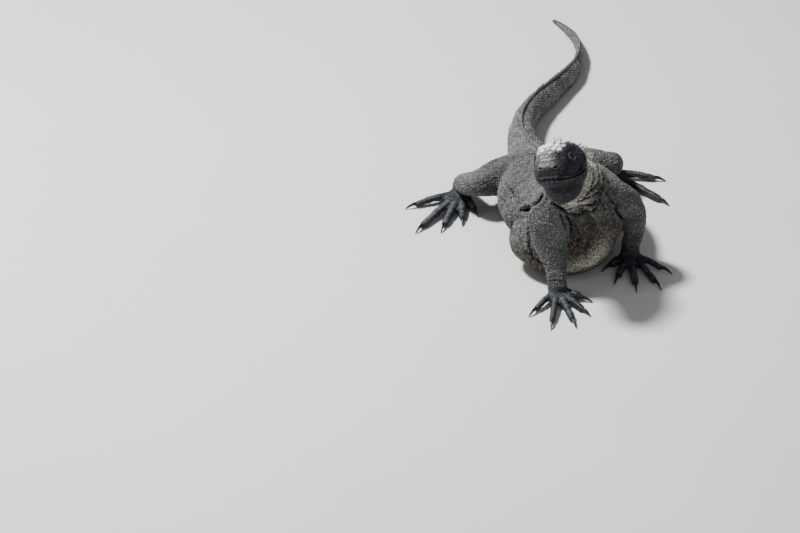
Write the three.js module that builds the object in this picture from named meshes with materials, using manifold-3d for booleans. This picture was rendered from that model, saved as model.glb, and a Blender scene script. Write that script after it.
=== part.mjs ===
// A life-size marine iguana, raised on its forelegs with its belly, hands, feet and tail on one level.
// Millimetres, +Z up. The snout points to -Y, the tail to +Y, and the animal's left side is +X.
import * as THREE from "three";
import { mergeVertices } from "three/addons/utils/BufferGeometryUtils.js";
import Module from "manifold-3d";

const wasm = await Module();
wasm.setup();

// Driving dimensions
const GAP = 0.3; // between neighbouring parts
const ROUNDNESS = 2.25; // 2 is an ellipse, more is squarer
const HEAD_CENTRE = new THREE.Vector3(-14, 5, 166);
const HEAD_YAW = -19; // degrees, towards the animal's right
const HEAD_PITCH = 18; // degrees, snout up
const HEAD_ROLL = -15; // degrees, crown towards its right
const HEAD_BACK = 21; // where the head meets the neck, behind its centre
const PELVIS = new THREE.Vector3(-31, 230, 32);
const PELVIS_YAW = 15; // degrees, the trunk's turn towards its left
const NAPE_SPINES = 10;
const SHOULDER_SPINES = 16;
const NAPE_SPINE_HEIGHT = 15;
const BACK_SPINES = 16;
const BACK_SPINE_HEIGHT = 6.5;
const TAIL_SPINE_PITCH = 14;
const TAIL_SPINE_HEIGHT = 5.5;
const RANDOM_SEED = 41;
// The first spines stand on the back of the crown. Each: across and along the head, height.
const CROWN_SPINES = [[-2, 4, 6.5], [0, 10, 4.5], [0, 16, 6]];

const SKIN = { color: 0x4a4b4d, roughness: 0.85, metalness: 0 };
const FOOT_SKIN = { color: 0x33363b, roughness: 0.7, metalness: 0 };
const BELLY_SKIN = { color: 0x6b5d4a, roughness: 0.85, metalness: 0 };
const EYE = { color: 0x120d0a, roughness: 0.1, metalness: 0 };

// The body's centre line from inside the head to the tail's tip.
// Each row: x, y, z, half width, height above the line, depth below it.
const BODY = [
  [-13, 11, 164, 22, 21, 22],
  [-8.5, 24, 153, 25, 23, 26],
  [0, 36, 136, 28, 26, 29],
  [8, 47, 116, 37, 31, 34],
  [12, 59, 93, 46, 36, 41],
  [10, 76, 71, 54, 41, 48],
  [5, 98, 56, 65, 42, 51],
  [-1, 123, 49, 71, 40, 50],
  [-9, 151, 45, 71, 37, 46],
  [-17, 179, 41, 64, 34, 42],
  [-25, 206, 36, 51, 31, 37],
  [-31, 230, 32, 40, 27.5, 33],
  [-37, 255, 28, 29, 24, 28.6],
  [-44, 286, 25, 21, 21, 25.6],
  [-49, 326, 22, 16, 18.5, 22.6],
  [-45, 371, 20, 12.5, 17, 20.6],
  [-30, 415, 18, 10, 15.5, 18.6],
  [-8, 457, 16, 8, 14, 16.6],
  [12, 499, 13.5, 6.4, 12.3, 14.1],
  [22, 543, 11, 5, 10.2, 11.6],
  [20, 586, 8.5, 3.8, 7.8, 9.1],
  [7, 622, 5.8, 2.6, 5, 6.3],
  [-8, 650, 3, 1.2, 2.4, 3.4],
];
const NECK_END = 2.7;
const CHEST_END = 7;
const TRUNK_END = 11.6;
const TAIL_CUTS = [TRUNK_END, 13.4, 15.2, 17, 19, BODY.length - 1];
const POUCH = { x: -6, y: 70, z: 34.5, wide: 60, long: 49, high: 36 }; // low belly between the arms

// The head from the snout's tip to the neck, in its own frame. Rows as in BODY.
const HEAD = [
  [0, -37.6, -6, 3, 3, 3],
  [0, -36.6, -6, 10.5, 8.5, 9],
  [0, -33.5, -5.5, 15.5, 12.5, 12.5],
  [0, -28, -4.5, 19, 16, 16],
  [0, -20, -2.5, 21.5, 20, 19.5],
  [0, -11, -1.5, 24, 23.5, 21.5],
  [0, -2, -1, 26.5, 25, 23.5],
  [0, 8, -1, 28.5, 25, 25.5],
  [0, 17, -1.5, 28, 24, 26],
  [0, 27, -3, 26, 22, 25],
];
const MOUTH_LINE = [[-46, -10], [-36, -10], [-24, -11.5], [-12, -12.5], [-3, -10.5], [4, -7]];
const JAW_ANGLE = [[10, -12], [17, -18], [26, -23]];
const THROAT = { y: 8, z: -24, wide: 21, long: 25, high: 20 }; // the loose throat under the jaw
const EYE_CENTRE = { x: 18.4, y: -10, z: 8.5 };
const EYE_RADIUS = 6.3;

const ARM_RIGHT = [
  [-4, 46, 104, 18, 18, 18],
  [-21, 33, 101, 22, 19.5, 19.5],
  [-23, 27, 81, 22.5, 19.5, 18.5],
  [-22, 24, 58, 19.5, 16, 16],
  [-16, 12, 36, 12.7, 12, 12],
  [-13.5, 0, 19, 10.5, 9, 9],
  [-12, -8, 11, 11, 7, 8],
];
const ARM_LEFT = [
  [20, 56, 106, 17, 17, 17],
  [38, 51, 108, 18, 17, 17],
  [58, 55, 96, 17, 16, 16],
  [73, 64, 75, 14, 13.5, 13.5],
  [75, 76, 47, 11.5, 11.5, 11.5],
  [71, 82, 21, 10.5, 9, 9],
  [70, 75, 11, 11, 7, 8],
];
const SHOULDER_BEND = 1; // the arm's row of its sharpest bend
const ELBOW = 3;

// Digits from the thumb outwards: spread in degrees towards the outside, reach from wrist to toe end
// and share of the toe's thickness.
const HAND = {
  palm: 19,
  palmWidth: 13,
  toe: 4.2,
  claw: 14,
  digits: [[-59, 29, 1.08], [-27, 46, 1], [-4, 60, 1.03], [18, 62, 0.97], [47, 43, 0.93]],
};
const FOOT = {
  palm: 27,
  palmWidth: 14.5,
  toe: 4.6,
  claw: 13,
  digits: [[-42, 36, 1.04], [-20, 54, 1], [-3, 72, 1.03], [13, 86, 1.01], [48, 58, 0.94]],
};

let randomState = RANDOM_SEED;
function random() {
  randomState = (randomState * 16807) % 2147483647;
  return randomState / 2147483647;
}

function solid(geometry, weld = 1e-4) {
  const bare = geometry.clone();
  bare.deleteAttribute("normal");
  bare.deleteAttribute("uv");
  const merged = mergeVertices(bare, weld);
  return new wasm.Manifold(
    new wasm.Mesh({
      numProp: 3,
      vertProperties: merged.attributes.position.array,
      triVerts: new Uint32Array(merged.index.array),
    }),
  );
}

// The largest closed surface of a solid, with its closest points made one, so that no scrap or
// sealed hollow stays.
const CLOSEST_POINTS = 0.01;
function largest(made) {
  const larger = (best, piece) => (piece.volume() > best.volume() ? piece : best);
  const biggest = (pieces) => pieces.reduce(larger);
  return biggest(solid(geometryOf(biggest(made.decompose())), CLOSEST_POINTS).decompose());
}

function geometryOf(made) {
  const mesh = made.getMesh();
  const geometry = new THREE.BufferGeometry();
  geometry.setAttribute("position", new THREE.BufferAttribute(mesh.vertProperties, 3));
  geometry.setIndex(new THREE.BufferAttribute(mesh.triVerts, 1));
  geometry.computeVertexNormals();
  return geometry;
}

// A smooth curve through the rows, column by column.
function rowAt(rows, u) {
  const last = rows.length - 1;
  const i = Math.min(Math.floor(u), last - 1);
  const t = u - i;
  const before = rows[Math.max(i - 1, 0)];
  const after = rows[Math.min(i + 2, last)];
  return rows[i].map((start, k) => {
    const end = rows[i + 1][k];
    const slopeIn = (end - before[k]) / 2;
    const slopeOut = (after[k] - start) / 2;
    const bend = 2 * start - 2 * end + slopeIn + slopeOut;
    const rise = -3 * start + 3 * end - 2 * slopeIn - slopeOut;
    return ((bend * t + rise) * t + slopeIn) * t + start;
  });
}

// Place, directions and half sizes of the cross-section at u.
function stationAt(rows, u, hint) {
  const nudge = 0.02;
  const behind = rowAt(rows, Math.max(u - nudge, 0));
  const ahead = rowAt(rows, Math.min(u + nudge, rows.length - 1));
  const [x, y, z, wide, high, deep] = rowAt(rows, u);
  const along = new THREE.Vector3(ahead[0] - behind[0], ahead[1] - behind[1], ahead[2] - behind[2]);
  along.normalize();
  const side = new THREE.Vector3().crossVectors(along, hint).normalize();
  const up = new THREE.Vector3().crossVectors(side, along);
  return { at: new THREE.Vector3(x, y, z), along, side, up, wide, high, deep };
}

function power(value, exponent) {
  return Math.sign(value) * Math.abs(value) ** exponent;
}

function offsetPoint(station, right, rise) {
  return station.at.clone().addScaledVector(station.side, right).addScaledVector(station.up, rise);
}

// A point of the section's outline at an angle from its side towards its top.
function outlinePoint(station, angle, grow) {
  const exponent = 2 / ROUNDNESS;
  const tall = Math.sin(angle) > 0 ? station.high : station.deep;
  const right = (station.wide + grow) * power(Math.cos(angle), exponent);
  return offsetPoint(station, right, (tall + grow) * power(Math.sin(angle), exponent));
}

// A closed solid from rings of points, with a fan over each end.
function ringSolid(rings) {
  const sides = rings[0].length;
  const points = rings.flat();
  const faces = [];
  for (let i = 0; i < rings.length - 1; i++) {
    for (let j = 0; j < sides; j++) {
      const a = i * sides + j;
      const b = i * sides + ((j + 1) % sides);
      faces.push(a, a + sides, b, b, a + sides, b + sides);
    }
  }
  const centres = [rings[0], rings[rings.length - 1]].map((ring) => {
    const centre = new THREE.Vector3();
    ring.forEach((point) => centre.addScaledVector(point, 1 / sides));
    return points.push(centre) - 1;
  });
  const lastRing = (rings.length - 1) * sides;
  for (let j = 0; j < sides; j++) {
    const next = (j + 1) % sides;
    faces.push(centres[0], j, next);
    faces.push(centres[1], lastRing + next, lastRing + j);
  }
  const geometry = new THREE.BufferGeometry().setFromPoints(points);
  geometry.setIndex(faces);
  return solid(geometry);
}

const UP = new THREE.Vector3(0, 0, 1);

function tube(rows, { from = 0, to = rows.length - 1, steps, sides, hint = UP, grow = 0, fold }) {
  const rings = [];
  for (let i = 0; i <= steps; i++) {
    const u = from + ((to - from) * i) / steps;
    const station = stationAt(rows, u, hint);
    const ring = [];
    for (let j = 0; j < sides; j++) {
      const angle = (2 * Math.PI * j) / sides;
      ring.push(outlinePoint(station, angle, grow + (fold ? fold(u, angle) : 0)));
    }
    rings.push(ring);
  }
  return ringSolid(rings);
}

function ellipsoid(x, y, z, wide, long, high, across = 12, down = 8) {
  const geometry = new THREE.SphereGeometry(1, across, down);
  return solid(geometry.scale(wide, long, high).translate(x, y, z));
}

// All that lies ahead of a section (towards the snout), or behind it, half a gap away.
function beside(station, isAhead) {
  const size = 900;
  const shift = isAhead ? -(size + GAP) / 2 : (size + GAP) / 2;
  const box = new THREE.BoxGeometry(size, size, size);
  const frame = new THREE.Matrix4().makeBasis(station.side, station.along, station.up.clone());
  frame.setPosition(station.at.clone().addScaledVector(station.along, shift));
  return solid(box.applyMatrix4(frame));
}

const aboveFloor = solid(new THREE.BoxGeometry(1600, 1600, 800).translate(0, 0, 400));

// A crest spine: a flat tapered blade that leans back, its root sunk in the skin.
function spine(station, height) {
  const sunk = 2.5;
  const length = 1.2 + 0.2 * height;
  const thick = 0.85 + 0.06 * height;
  const lean = 0.45 * height;
  const rings = [
    [-sunk, 1, 0],
    [0.5 * height, 0.62, 0.35 * lean],
    [height, 0.12, lean],
  ].map(([rise, share, back]) =>
    [[1, 0], [0, -1], [-1, 0], [0, 1]].map(([ahead, right]) => {
      const point = offsetPoint(station, right * share * thick, station.high + rise);
      return point.addScaledVector(station.along, back - ahead * share * length);
    }),
  );
  return ringSolid(rings);
}

function crest(from, to, count, heightAt) {
  const made = [];
  for (let i = 0; i < count; i++) {
    const u = from + ((to - from) * (i + 0.5)) / count;
    const height = heightAt(u) * (0.86 + 0.28 * random());
    made.push(spine(stationAt(BODY, u, UP), height));
  }
  return made;
}

function union(pieces) {
  return wasm.Manifold.union(pieces);
}

// Neck, with folds of loose skin round the throat
const throatFolds = (u, angle) => {
  const below = Math.max(0, 0.35 - Math.sin(angle));
  return 1.5 * below * Math.cos(2 * Math.PI * (u / 0.52));
};
const headFrame = new THREE.Matrix4().compose(
  HEAD_CENTRE,
  new THREE.Quaternion().setFromEuler(
    new THREE.Euler(
      THREE.MathUtils.degToRad(-HEAD_PITCH),
      THREE.MathUtils.degToRad(HEAD_ROLL),
      THREE.MathUtils.degToRad(HEAD_YAW),
      "ZXY",
    ),
  ),
  new THREE.Vector3(1, 1, 1),
);
const headAxes = [0, 1, 2].map((i) => new THREE.Vector3().setFromMatrixColumn(headFrame, i));
const headBack = {
  at: HEAD_CENTRE.clone().addScaledVector(headAxes[1], HEAD_BACK),
  side: headAxes[0],
  along: headAxes[1],
  up: headAxes[2],
};

function throat(grow) {
  const { y, z, wide, long, high } = THROAT;
  return ellipsoid(0, y, z, wide + grow, long + grow, high + grow, 12, 8);
}
const throatOnNeck = (grow) => throat(grow).transform(headFrame.toArray());

const NECK_TUBE = { from: 0, to: NECK_END + 0.05, steps: 18, sides: 16, fold: throatFolds };
const neckEnd = stationAt(BODY, NECK_END, UP);
function neck() {
  const napeFrom = 1.15;
  const heightAt = (u) => NAPE_SPINE_HEIGHT * (0.72 + 0.28 * Math.sin((u - 0.9) * 1.6));
  const neckSpines = crest(napeFrom, NECK_END, NAPE_SPINES, heightAt);
  const whole = union([tube(BODY, NECK_TUBE), throatOnNeck(0), ...neckSpines]);
  return largest(whole.intersect(beside(headBack, false)).intersect(beside(neckEnd, true)));
}

// Trunk
const chestStation = stationAt(BODY, CHEST_END, UP);
function chestFlesh(grow) {
  const trunk = tube(BODY, { from: NECK_END - 0.05, to: CHEST_END, steps: 11, sides: 22, grow });
  const { x, y, z, wide, long, high } = POUCH;
  const pouch = ellipsoid(x, y, z, wide + grow, long + grow, high + grow, 20, 10);
  return trunk.add(pouch).intersect(beside(chestStation, true));
}
const chestHeight = (u) => Math.max(BACK_SPINE_HEIGHT, NAPE_SPINE_HEIGHT * (1.25 - (u - 2.2) * 0.5));
function chest() {
  const spines = crest(NECK_END + 0.02, CHEST_END - 0.05, SHOULDER_SPINES, chestHeight);
  const made = union([chestFlesh(0), ...spines]).intersect(beside(neckEnd, false));
  return largest(made.intersect(aboveFloor));
}

const OVERLAP = 0.15; // rows by which neighbouring tubes run past their cut
const rearFlesh = (grow) =>
  tube(BODY, { from: CHEST_END - OVERLAP, to: TRUNK_END + OVERLAP, steps: 10, sides: 20, grow });
function belly() {
  const spines = crest(CHEST_END + 0.05, TRUNK_END - 0.05, BACK_SPINES, () => BACK_SPINE_HEIGHT);
  const made = union([rearFlesh(0), ...spines]).intersect(beside(chestStation, false));
  const ahead = beside(stationAt(BODY, TRUNK_END, UP), true);
  return largest(made.intersect(ahead).intersect(aboveFloor));
}

const isTip = (index) => index === TAIL_CUTS.length - 2;
function tailFlesh(index, grow) {
  const [from, to] = [TAIL_CUTS[index], TAIL_CUTS[index + 1]];
  const reach = stationAt(BODY, from, UP).at.distanceTo(stationAt(BODY, to, UP).at);
  return tube(BODY, {
    from: from - OVERLAP,
    to: isTip(index) ? to : to + OVERLAP,
    steps: Math.round(reach / 15),
    sides: index < 2 ? 12 : 8,
    grow,
  });
}
function tailPiece(index) {
  const [from, to] = [TAIL_CUTS[index], TAIL_CUTS[index + 1]];
  const start = stationAt(BODY, from, UP);
  const end = stationAt(BODY, to, UP);
  const count = Math.round(start.at.distanceTo(end.at) / TAIL_SPINE_PITCH);
  const heightAt = (u) => TAIL_SPINE_HEIGHT * Math.min(1, (BODY.length - 0.6 - u) / 5);
  const made = union([tailFlesh(index, 0), ...crest(from + 0.06, to - 0.06, count, heightAt)]);
  const behind = made.intersect(beside(start, false)).intersect(aboveFloor);
  return largest(isTip(index) ? behind : behind.intersect(beside(end, true)));
}

// Arms and legs
function claw(start, heading, height, length) {
  const rows = [
    [-4, height, 2.6],
    [2, height + 0.9, 2.3],
    [0.55 * length, height - 0.4, 1.5],
    [length, 0.9, 0.45],
  ].map(([reach, z, radius]) => [
    start.x + reach * heading.x,
    start.y + reach * heading.y,
    z,
    0.8 * radius,
    radius,
    radius,
  ]);
  return tube(rows, { steps: 3, sides: 4 });
}

function digit(root, angle, reach, thickness, plan) {
  const heading = new THREE.Vector3(Math.sin(angle), -Math.cos(angle), 0);
  const rows = [
    [4, 8, 1.15],
    [plan.palm * 0.85, 7, 1.12],
    [plan.palm + 0.2 * (reach - plan.palm), 7.2, 0.98],
    [plan.palm + 0.45 * (reach - plan.palm), 6.6, 1.02],
    [plan.palm + 0.7 * (reach - plan.palm), 5, 0.9],
    [plan.palm + 0.92 * (reach - plan.palm), 3.7, 0.93],
    [reach, 3.4, 0.55],
  ].map(([along, z, share]) => [
    root.x + along * heading.x,
    root.y + along * heading.y,
    z,
    share * thickness * plan.toe,
    share * thickness * plan.toe,
    share * thickness * plan.toe,
  ]);
  const tip = new THREE.Vector3(root.x + reach * heading.x, root.y + reach * heading.y, 0);
  return [tube(rows, { steps: 5, sides: 5 }), claw(tip, heading, 3.4, plan.claw)];
}

// A hand or foot: side is 1 for the left, -1 for the right; turn is where it points, from -Y to +X.
function paw(root, turn, side, plan) {
  const angleOf = (spread) => THREE.MathUtils.degToRad(turn + side * spread);
  const middle = angleOf(plan.digits[2][0]);
  const ahead = new THREE.Vector3(Math.sin(middle), -Math.cos(middle), 0);
  const palmRows = [
    [-7, 12, 0.7, 9],
    [3, 9, 0.86, 7.5],
    [0.5 * plan.palm, 7.6, 1, 6],
    [0.9 * plan.palm, 6.4, 1.02, 4.6],
    [plan.palm + 2, 5.2, 0.8, 3],
  ].map(([reach, z, share, high]) => [
    root.x + reach * ahead.x,
    root.y + reach * ahead.y,
    z,
    share * plan.palmWidth,
    high,
    z + 0.8,
  ]);
  const pieces = [tube(palmRows, { steps: 4, sides: 8 })];
  plan.digits.forEach(([spread, ...sizes]) => pieces.push(...digit(root, angleOf(spread), ...sizes, plan)));
  return union(pieces);
}

// The cut between a limb and its hand or foot, through the wrist or ankle and leaning forwards.
const CUFF_HEIGHT = 17.5;
function cuff([x, y], turn) {
  const angle = THREE.MathUtils.degToRad(turn);
  const along = new THREE.Vector3(0.55 * Math.sin(angle), -0.55 * Math.cos(angle), -0.83).normalize();
  const side = new THREE.Vector3(Math.cos(angle), Math.sin(angle), 0);
  return { at: new THREE.Vector3(x, y, CUFF_HEIGHT), side, along, up: side.clone().cross(along) };
}

const LIMB_SIDES = 12;
const LIMB_STEPS_PER_ROW = 2.4;

// A limb's flesh: one tube to the row of its sharpest bend, a ball there, and one tube on from it.
function limbFlesh(rows, bend, hint) {
  const stretch = (part) => {
    const steps = Math.round(LIMB_STEPS_PER_ROW * (part.length - 1));
    return tube(part, { steps, sides: LIMB_SIDES, hint });
  };
  const [x, y, z, wide, high, deep] = rows[bend];
  const ball = ellipsoid(x, y, z, 0.98 * wide, 0.98 * wide, (high + deep) / 2);
  return union([stretch(rows.slice(0, bend + 1)), ball, stretch(rows.slice(bend))]);
}

// Upper part, lower part and paw of one limb, clear of the flesh that it grows from.
function limbParts({ hint, bend, joint, trunk, plan }, rows, side, turn) {
  const knuckle = stationAt(rows, joint, hint);
  const end = cuff(rows[5], turn);
  const whole = limbFlesh(rows, bend, hint).subtract(trunk);
  const lower = whole.intersect(beside(knuckle, false)).intersect(beside(end, true));
  const [x, y] = rows[5];
  const below = paw(new THREE.Vector3(x, y, 0), turn, side, plan);
  const ankle = tube(rows.slice(4), { from: 0.7, steps: 3, sides: LIMB_SIDES, hint });
  return {
    upper: largest(whole.intersect(beside(knuckle, true)).intersect(aboveFloor)),
    lower: largest(lower.intersect(aboveFloor)),
    paw: largest(below.add(ankle).intersect(beside(end, false)).intersect(aboveFloor)),
  };
}
const ARM_HINT = new THREE.Vector3(0, -1, 0.35).normalize();

// Hind legs, laid out from the pelvis: steps to the side, forwards, up, then the three half sizes.
const LEG = [
  [10, -2, 34, 20, 20, 20],
  [34, 4, 36, 24, 22, 22],
  [58, 16, 39, 21, 19, 19],
  [78, 24, 40, 16, 15, 15],
  [86, 6, 31, 13.5, 13, 13],
  [86, -17, 19, 10.5, 10, 10],
  [86, -22, 8, 10.5, 8, 8],
];
const KNEE_BEND = 3;
const KNEE = 3.1;
const LEG_HINT = new THREE.Vector3(0, 0.25, 1).normalize();

function legRows(side, forward) {
  const yaw = THREE.MathUtils.degToRad(PELVIS_YAW);
  const out = new THREE.Vector3(side * Math.cos(yaw), side * Math.sin(yaw), 0);
  const ahead = new THREE.Vector3(Math.sin(yaw), -Math.cos(yaw), 0);
  return LEG.map(([aside, ahead_, z, ...sizes], i) => {
    const stride = forward * Math.min(1, i / 3);
    const point = PELVIS.clone().setZ(z).addScaledVector(out, aside);
    point.addScaledVector(ahead, ahead_ + stride);
    return [...point.toArray(), ...sizes];
  });
}

// Head, in its own frame
function headSection(y) {
  let low = 0;
  let high = HEAD.length - 1;
  for (let i = 0; i < 24; i++) {
    const middle = (low + high) / 2;
    if (rowAt(HEAD, middle)[1] < y) low = middle;
    else high = middle;
  }
  return stationAt(HEAD, low, UP);
}

function headHalfWidth(y, z) {
  const { at, wide, high, deep } = headSection(y);
  const share = Math.abs(z - at.z) / (z > at.z ? high : deep);
  return wide * Math.max(0, 1 - share ** ROUNDNESS) ** (1 / ROUNDNESS);
}

function mouthHeight(y) {
  const i = Math.max(1, MOUTH_LINE.findIndex(([at]) => at > y));
  const [[y0, z0], [y1, z1]] = [MOUTH_LINE[i - 1], MOUTH_LINE[i]];
  return z0 + ((z1 - z0) * (y - y0)) / (y1 - y0);
}

// A lip: a roll of skin from one corner of the mouth round the snout to the other.
function lip(rise, radius) {
  const corner = 2;
  const tip = -37.2;
  const count = 14;
  const rows = [];
  for (let i = 0; i <= count; i++) {
    const sweep = (Math.PI * i) / count;
    const y = corner + (tip - corner) * Math.sin(sweep);
    const z = mouthHeight(y) + rise;
    const x = Math.sign(Math.cos(sweep)) * headHalfWidth(y, z);
    rows.push([0.99 * x, y, z, radius, radius, radius]);
  }
  rows[0][0] -= 3;
  rows[count][0] += 3;
  return tube(rows, { steps: count, sides: 4 });
}

// A tubercle: a low blunt knob standing on the crown, or on the snout, at x, y.
function tubercle(x, y, radius, height) {
  const { at, wide, high } = headSection(y);
  const rise = high * Math.max(0.02, 1 - Math.abs(x / wide) ** ROUNDNESS) ** (1 / ROUNDNESS);
  const slope = headSection(y + 2);
  const tilt = (slope.at.z + slope.high - at.z - high) / 2;
  const outward = new THREE.Vector3(x / wide / wide, 0, rise / high / high).normalize();
  outward.y = -tilt * outward.z;
  outward.normalize();
  const knob = new THREE.CylinderGeometry(0.5 * radius, radius, height + 2, 4, 1);
  knob.rotateY(random() * Math.PI);
  knob.applyQuaternion(new THREE.Quaternion().setFromUnitVectors(new THREE.Vector3(0, 1, 0), outward));
  const centre = new THREE.Vector3(x, y, at.z + rise).addScaledVector(outward, height / 2 - 1);
  return solid(knob.translate(centre.x, centre.y, centre.z));
}

const TUBERCLE_SPACING = 2.1; // radii from one to the next
function tubercles() {
  const made = [];
  const bands = [
    { y: -31, half: 9, radius: 2.8, height: 0.9 },
    { y: -26, half: 12, radius: 3.1, height: 1.3 },
    { y: -20.5, half: 12, radius: 3.6, height: 2 },
    { y: -14, half: 13, radius: 4.2, height: 2.7 },
    { y: -7, half: 14, radius: 4.3, height: 2.7 },
    { y: 0, half: 16, radius: 4, height: 2.3 },
    { y: 6.5, half: 19, radius: 3.6, height: 1.8 },
    { y: 13, half: 20, radius: 3.2, height: 1.4 },
  ];
  bands.forEach(({ y, half, radius, height }, band) => {
    const count = Math.floor((2 * half) / (TUBERCLE_SPACING * radius)) + (band % 2);
    for (let i = 0; i < count; i++) {
      const x = -half + (2 * half * (i + 0.5)) / count;
      const size = 0.85 + 0.3 * random();
      made.push(tubercle(x, y + random() - 0.5, radius * size, height * size));
    }
  });
  return made;
}

function crownSpine([x, y, height]) {
  const { at, high } = headSection(y);
  return spine({ ...HEAD_END, at: new THREE.Vector3(x, y, at.z), high }, height);
}

function eyeBall(side, grow) {
  const radius = EYE_RADIUS + grow;
  const { x, y, z } = EYE_CENTRE;
  return ellipsoid(side * x, y, z, radius, radius, radius, 12, 8);
}

// Two lids round the opening, and the brow over them.
function eyeSurround(side) {
  const { x, y, z } = EYE_CENTRE;
  const outer = new THREE.TorusGeometry(6.1, 1.9, 4, 14).scale(1, 0.8, 1);
  outer.rotateY(side * THREE.MathUtils.degToRad(72)).translate(side * (x + 3.2), y, z);
  const browRows = [[-27, 11], [-19, 15], [-10, 18], [0, 18.5], [9, 16]].map(([along, height]) => [
    side * (headHalfWidth(along, height) - 1.2),
    along,
    height,
    3,
    3,
    3,
  ]);
  return solid(outer).add(tube(browRows, { steps: 6, sides: 5 }));
}

function mouthCutter(offset) {
  const line = [...MOUTH_LINE, ...JAW_ANGLE].map(([y, z]) => new THREE.Vector2(y, z));
  const curve = new THREE.SplineCurve(line);
  const points = curve.getPoints(30).map((point, i) => {
    const tangent = curve.getTangent(i / 30);
    return new THREE.Vector2(point.x - tangent.y * offset, point.y + tangent.x * offset);
  });
  points.push(new THREE.Vector2(26, -70), new THREE.Vector2(-60, -70), new THREE.Vector2(-60, -10 + offset));
  const width = 120;
  const shape = new THREE.ExtrudeGeometry(new THREE.Shape(points), { depth: width, bevelEnabled: false });
  const toSide = new THREE.Matrix4().makeBasis(
    new THREE.Vector3(0, 1, 0),
    new THREE.Vector3(0, 0, 1),
    new THREE.Vector3(1, 0, 0),
  );
  return solid(shape.translate(0, 0, -width / 2).applyMatrix4(toSide));
}

// The head's cut towards the neck, in the head's own frame
const HEAD_END = {
  at: new THREE.Vector3(0, HEAD_BACK, 0),
  side: new THREE.Vector3(1, 0, 0),
  along: new THREE.Vector3(0, 1, 0),
  up: new THREE.Vector3(0, 0, 1),
};

function headParts() {
  const flesh = [
    tube(HEAD, { to: HEAD.length - 1.3, steps: 15, sides: 20 }),
    lip(2.1, 1.9),
    lip(-2.3, 1.9),
    throat(0),
  ];
  const hollows = [];
  for (const side of [-1, 1]) {
    flesh.push(eyeSurround(side));
    flesh.push(ellipsoid(side * 18, 8, -9, 12, 15, 15));
    flesh.push(ellipsoid(side * 8.5, -31, 3.5, 4.4, 4.6, 3.6, 8, 6));
    hollows.push(ellipsoid(side * 10.6, -34.3, 4, 1.7, 2.6, 1.5, 6, 4));
    hollows.push(eyeBall(side, GAP));
    hollows.push(ellipsoid(side * 31.5, 12, 5, 4, 4, 5.5, 8, 6));
  }
  flesh.push(...tubercles(), ...CROWN_SPINES.map(crownSpine));
  const whole = union(flesh).subtract(union(hollows));
  return {
    head: largest(whole.subtract(mouthCutter(GAP / 2)).intersect(beside(HEAD_END, true))),
    jaw: largest(whole.intersect(mouthCutter(-GAP / 2)).intersect(beside(HEAD_END, true))),
  };
}

const iguana = new THREE.Group();

function addPart(name, made, finish) {
  const mesh = new THREE.Mesh(geometryOf(made), new THREE.MeshStandardMaterial(finish));
  mesh.name = name;
  iguana.add(mesh);
  return mesh;
}

const { head, jaw } = headParts();
[
  ["head", head, SKIN],
  ["lower_jaw", jaw, SKIN],
  ["eye_right", eyeBall(-1, 0), EYE],
  ["eye_left", eyeBall(1, 0), EYE],
].forEach(([name, made, finish]) => addPart(name, made, finish).applyMatrix4(headFrame));

addPart("neck", neck(), SKIN);
addPart("torso_front", chest(), BELLY_SKIN);
addPart("torso_rear", belly(), SKIN);
for (let i = 0; i < TAIL_CUTS.length - 1; i++) addPart("tail_" + (i + 1), tailPiece(i), SKIN);

const ARM = {
  hint: ARM_HINT,
  bend: SHOULDER_BEND,
  joint: ELBOW,
  trunk: union([chestFlesh(GAP), tube(BODY, { ...NECK_TUBE, grow: GAP }), throatOnNeck(GAP)]),
  plan: HAND,
  names: ["upper_arm", "forearm", "hand"],
};
const HIND_LEG = {
  hint: LEG_HINT,
  bend: KNEE_BEND,
  joint: KNEE,
  trunk: rearFlesh(GAP).add(tailFlesh(0, GAP)),
  plan: FOOT,
  names: ["thigh", "shank", "foot"],
};

// Each limb's rows, its side and the way that its paw points, in degrees from -Y towards +X.
[
  { limb: ARM, rows: ARM_RIGHT, side: -1, turn: 12 },
  { limb: ARM, rows: ARM_LEFT, side: 1, turn: 8 },
  { limb: HIND_LEG, rows: legRows(-1, 0), side: -1, turn: -20 },
  { limb: HIND_LEG, rows: legRows(1, -4), side: 1, turn: 34 },
].forEach(({ limb, rows, side, turn }) => {
  const { upper, lower, paw: end } = limbParts(limb, rows, side, turn);
  const suffix = side > 0 ? "_left" : "_right";
  [upper, lower, end].forEach((made, i) => addPart(limb.names[i] + suffix, made, i < 2 ? SKIN : FOOT_SKIN));
});

// The origin is under the middle of the whole animal, on the level that it rests on.
const bounds = new THREE.Box3().setFromObject(iguana, true);
const middle = bounds.getCenter(new THREE.Vector3());
iguana.position.set(-middle.x, -middle.y, -bounds.min.z);

export default iguana;
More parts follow.
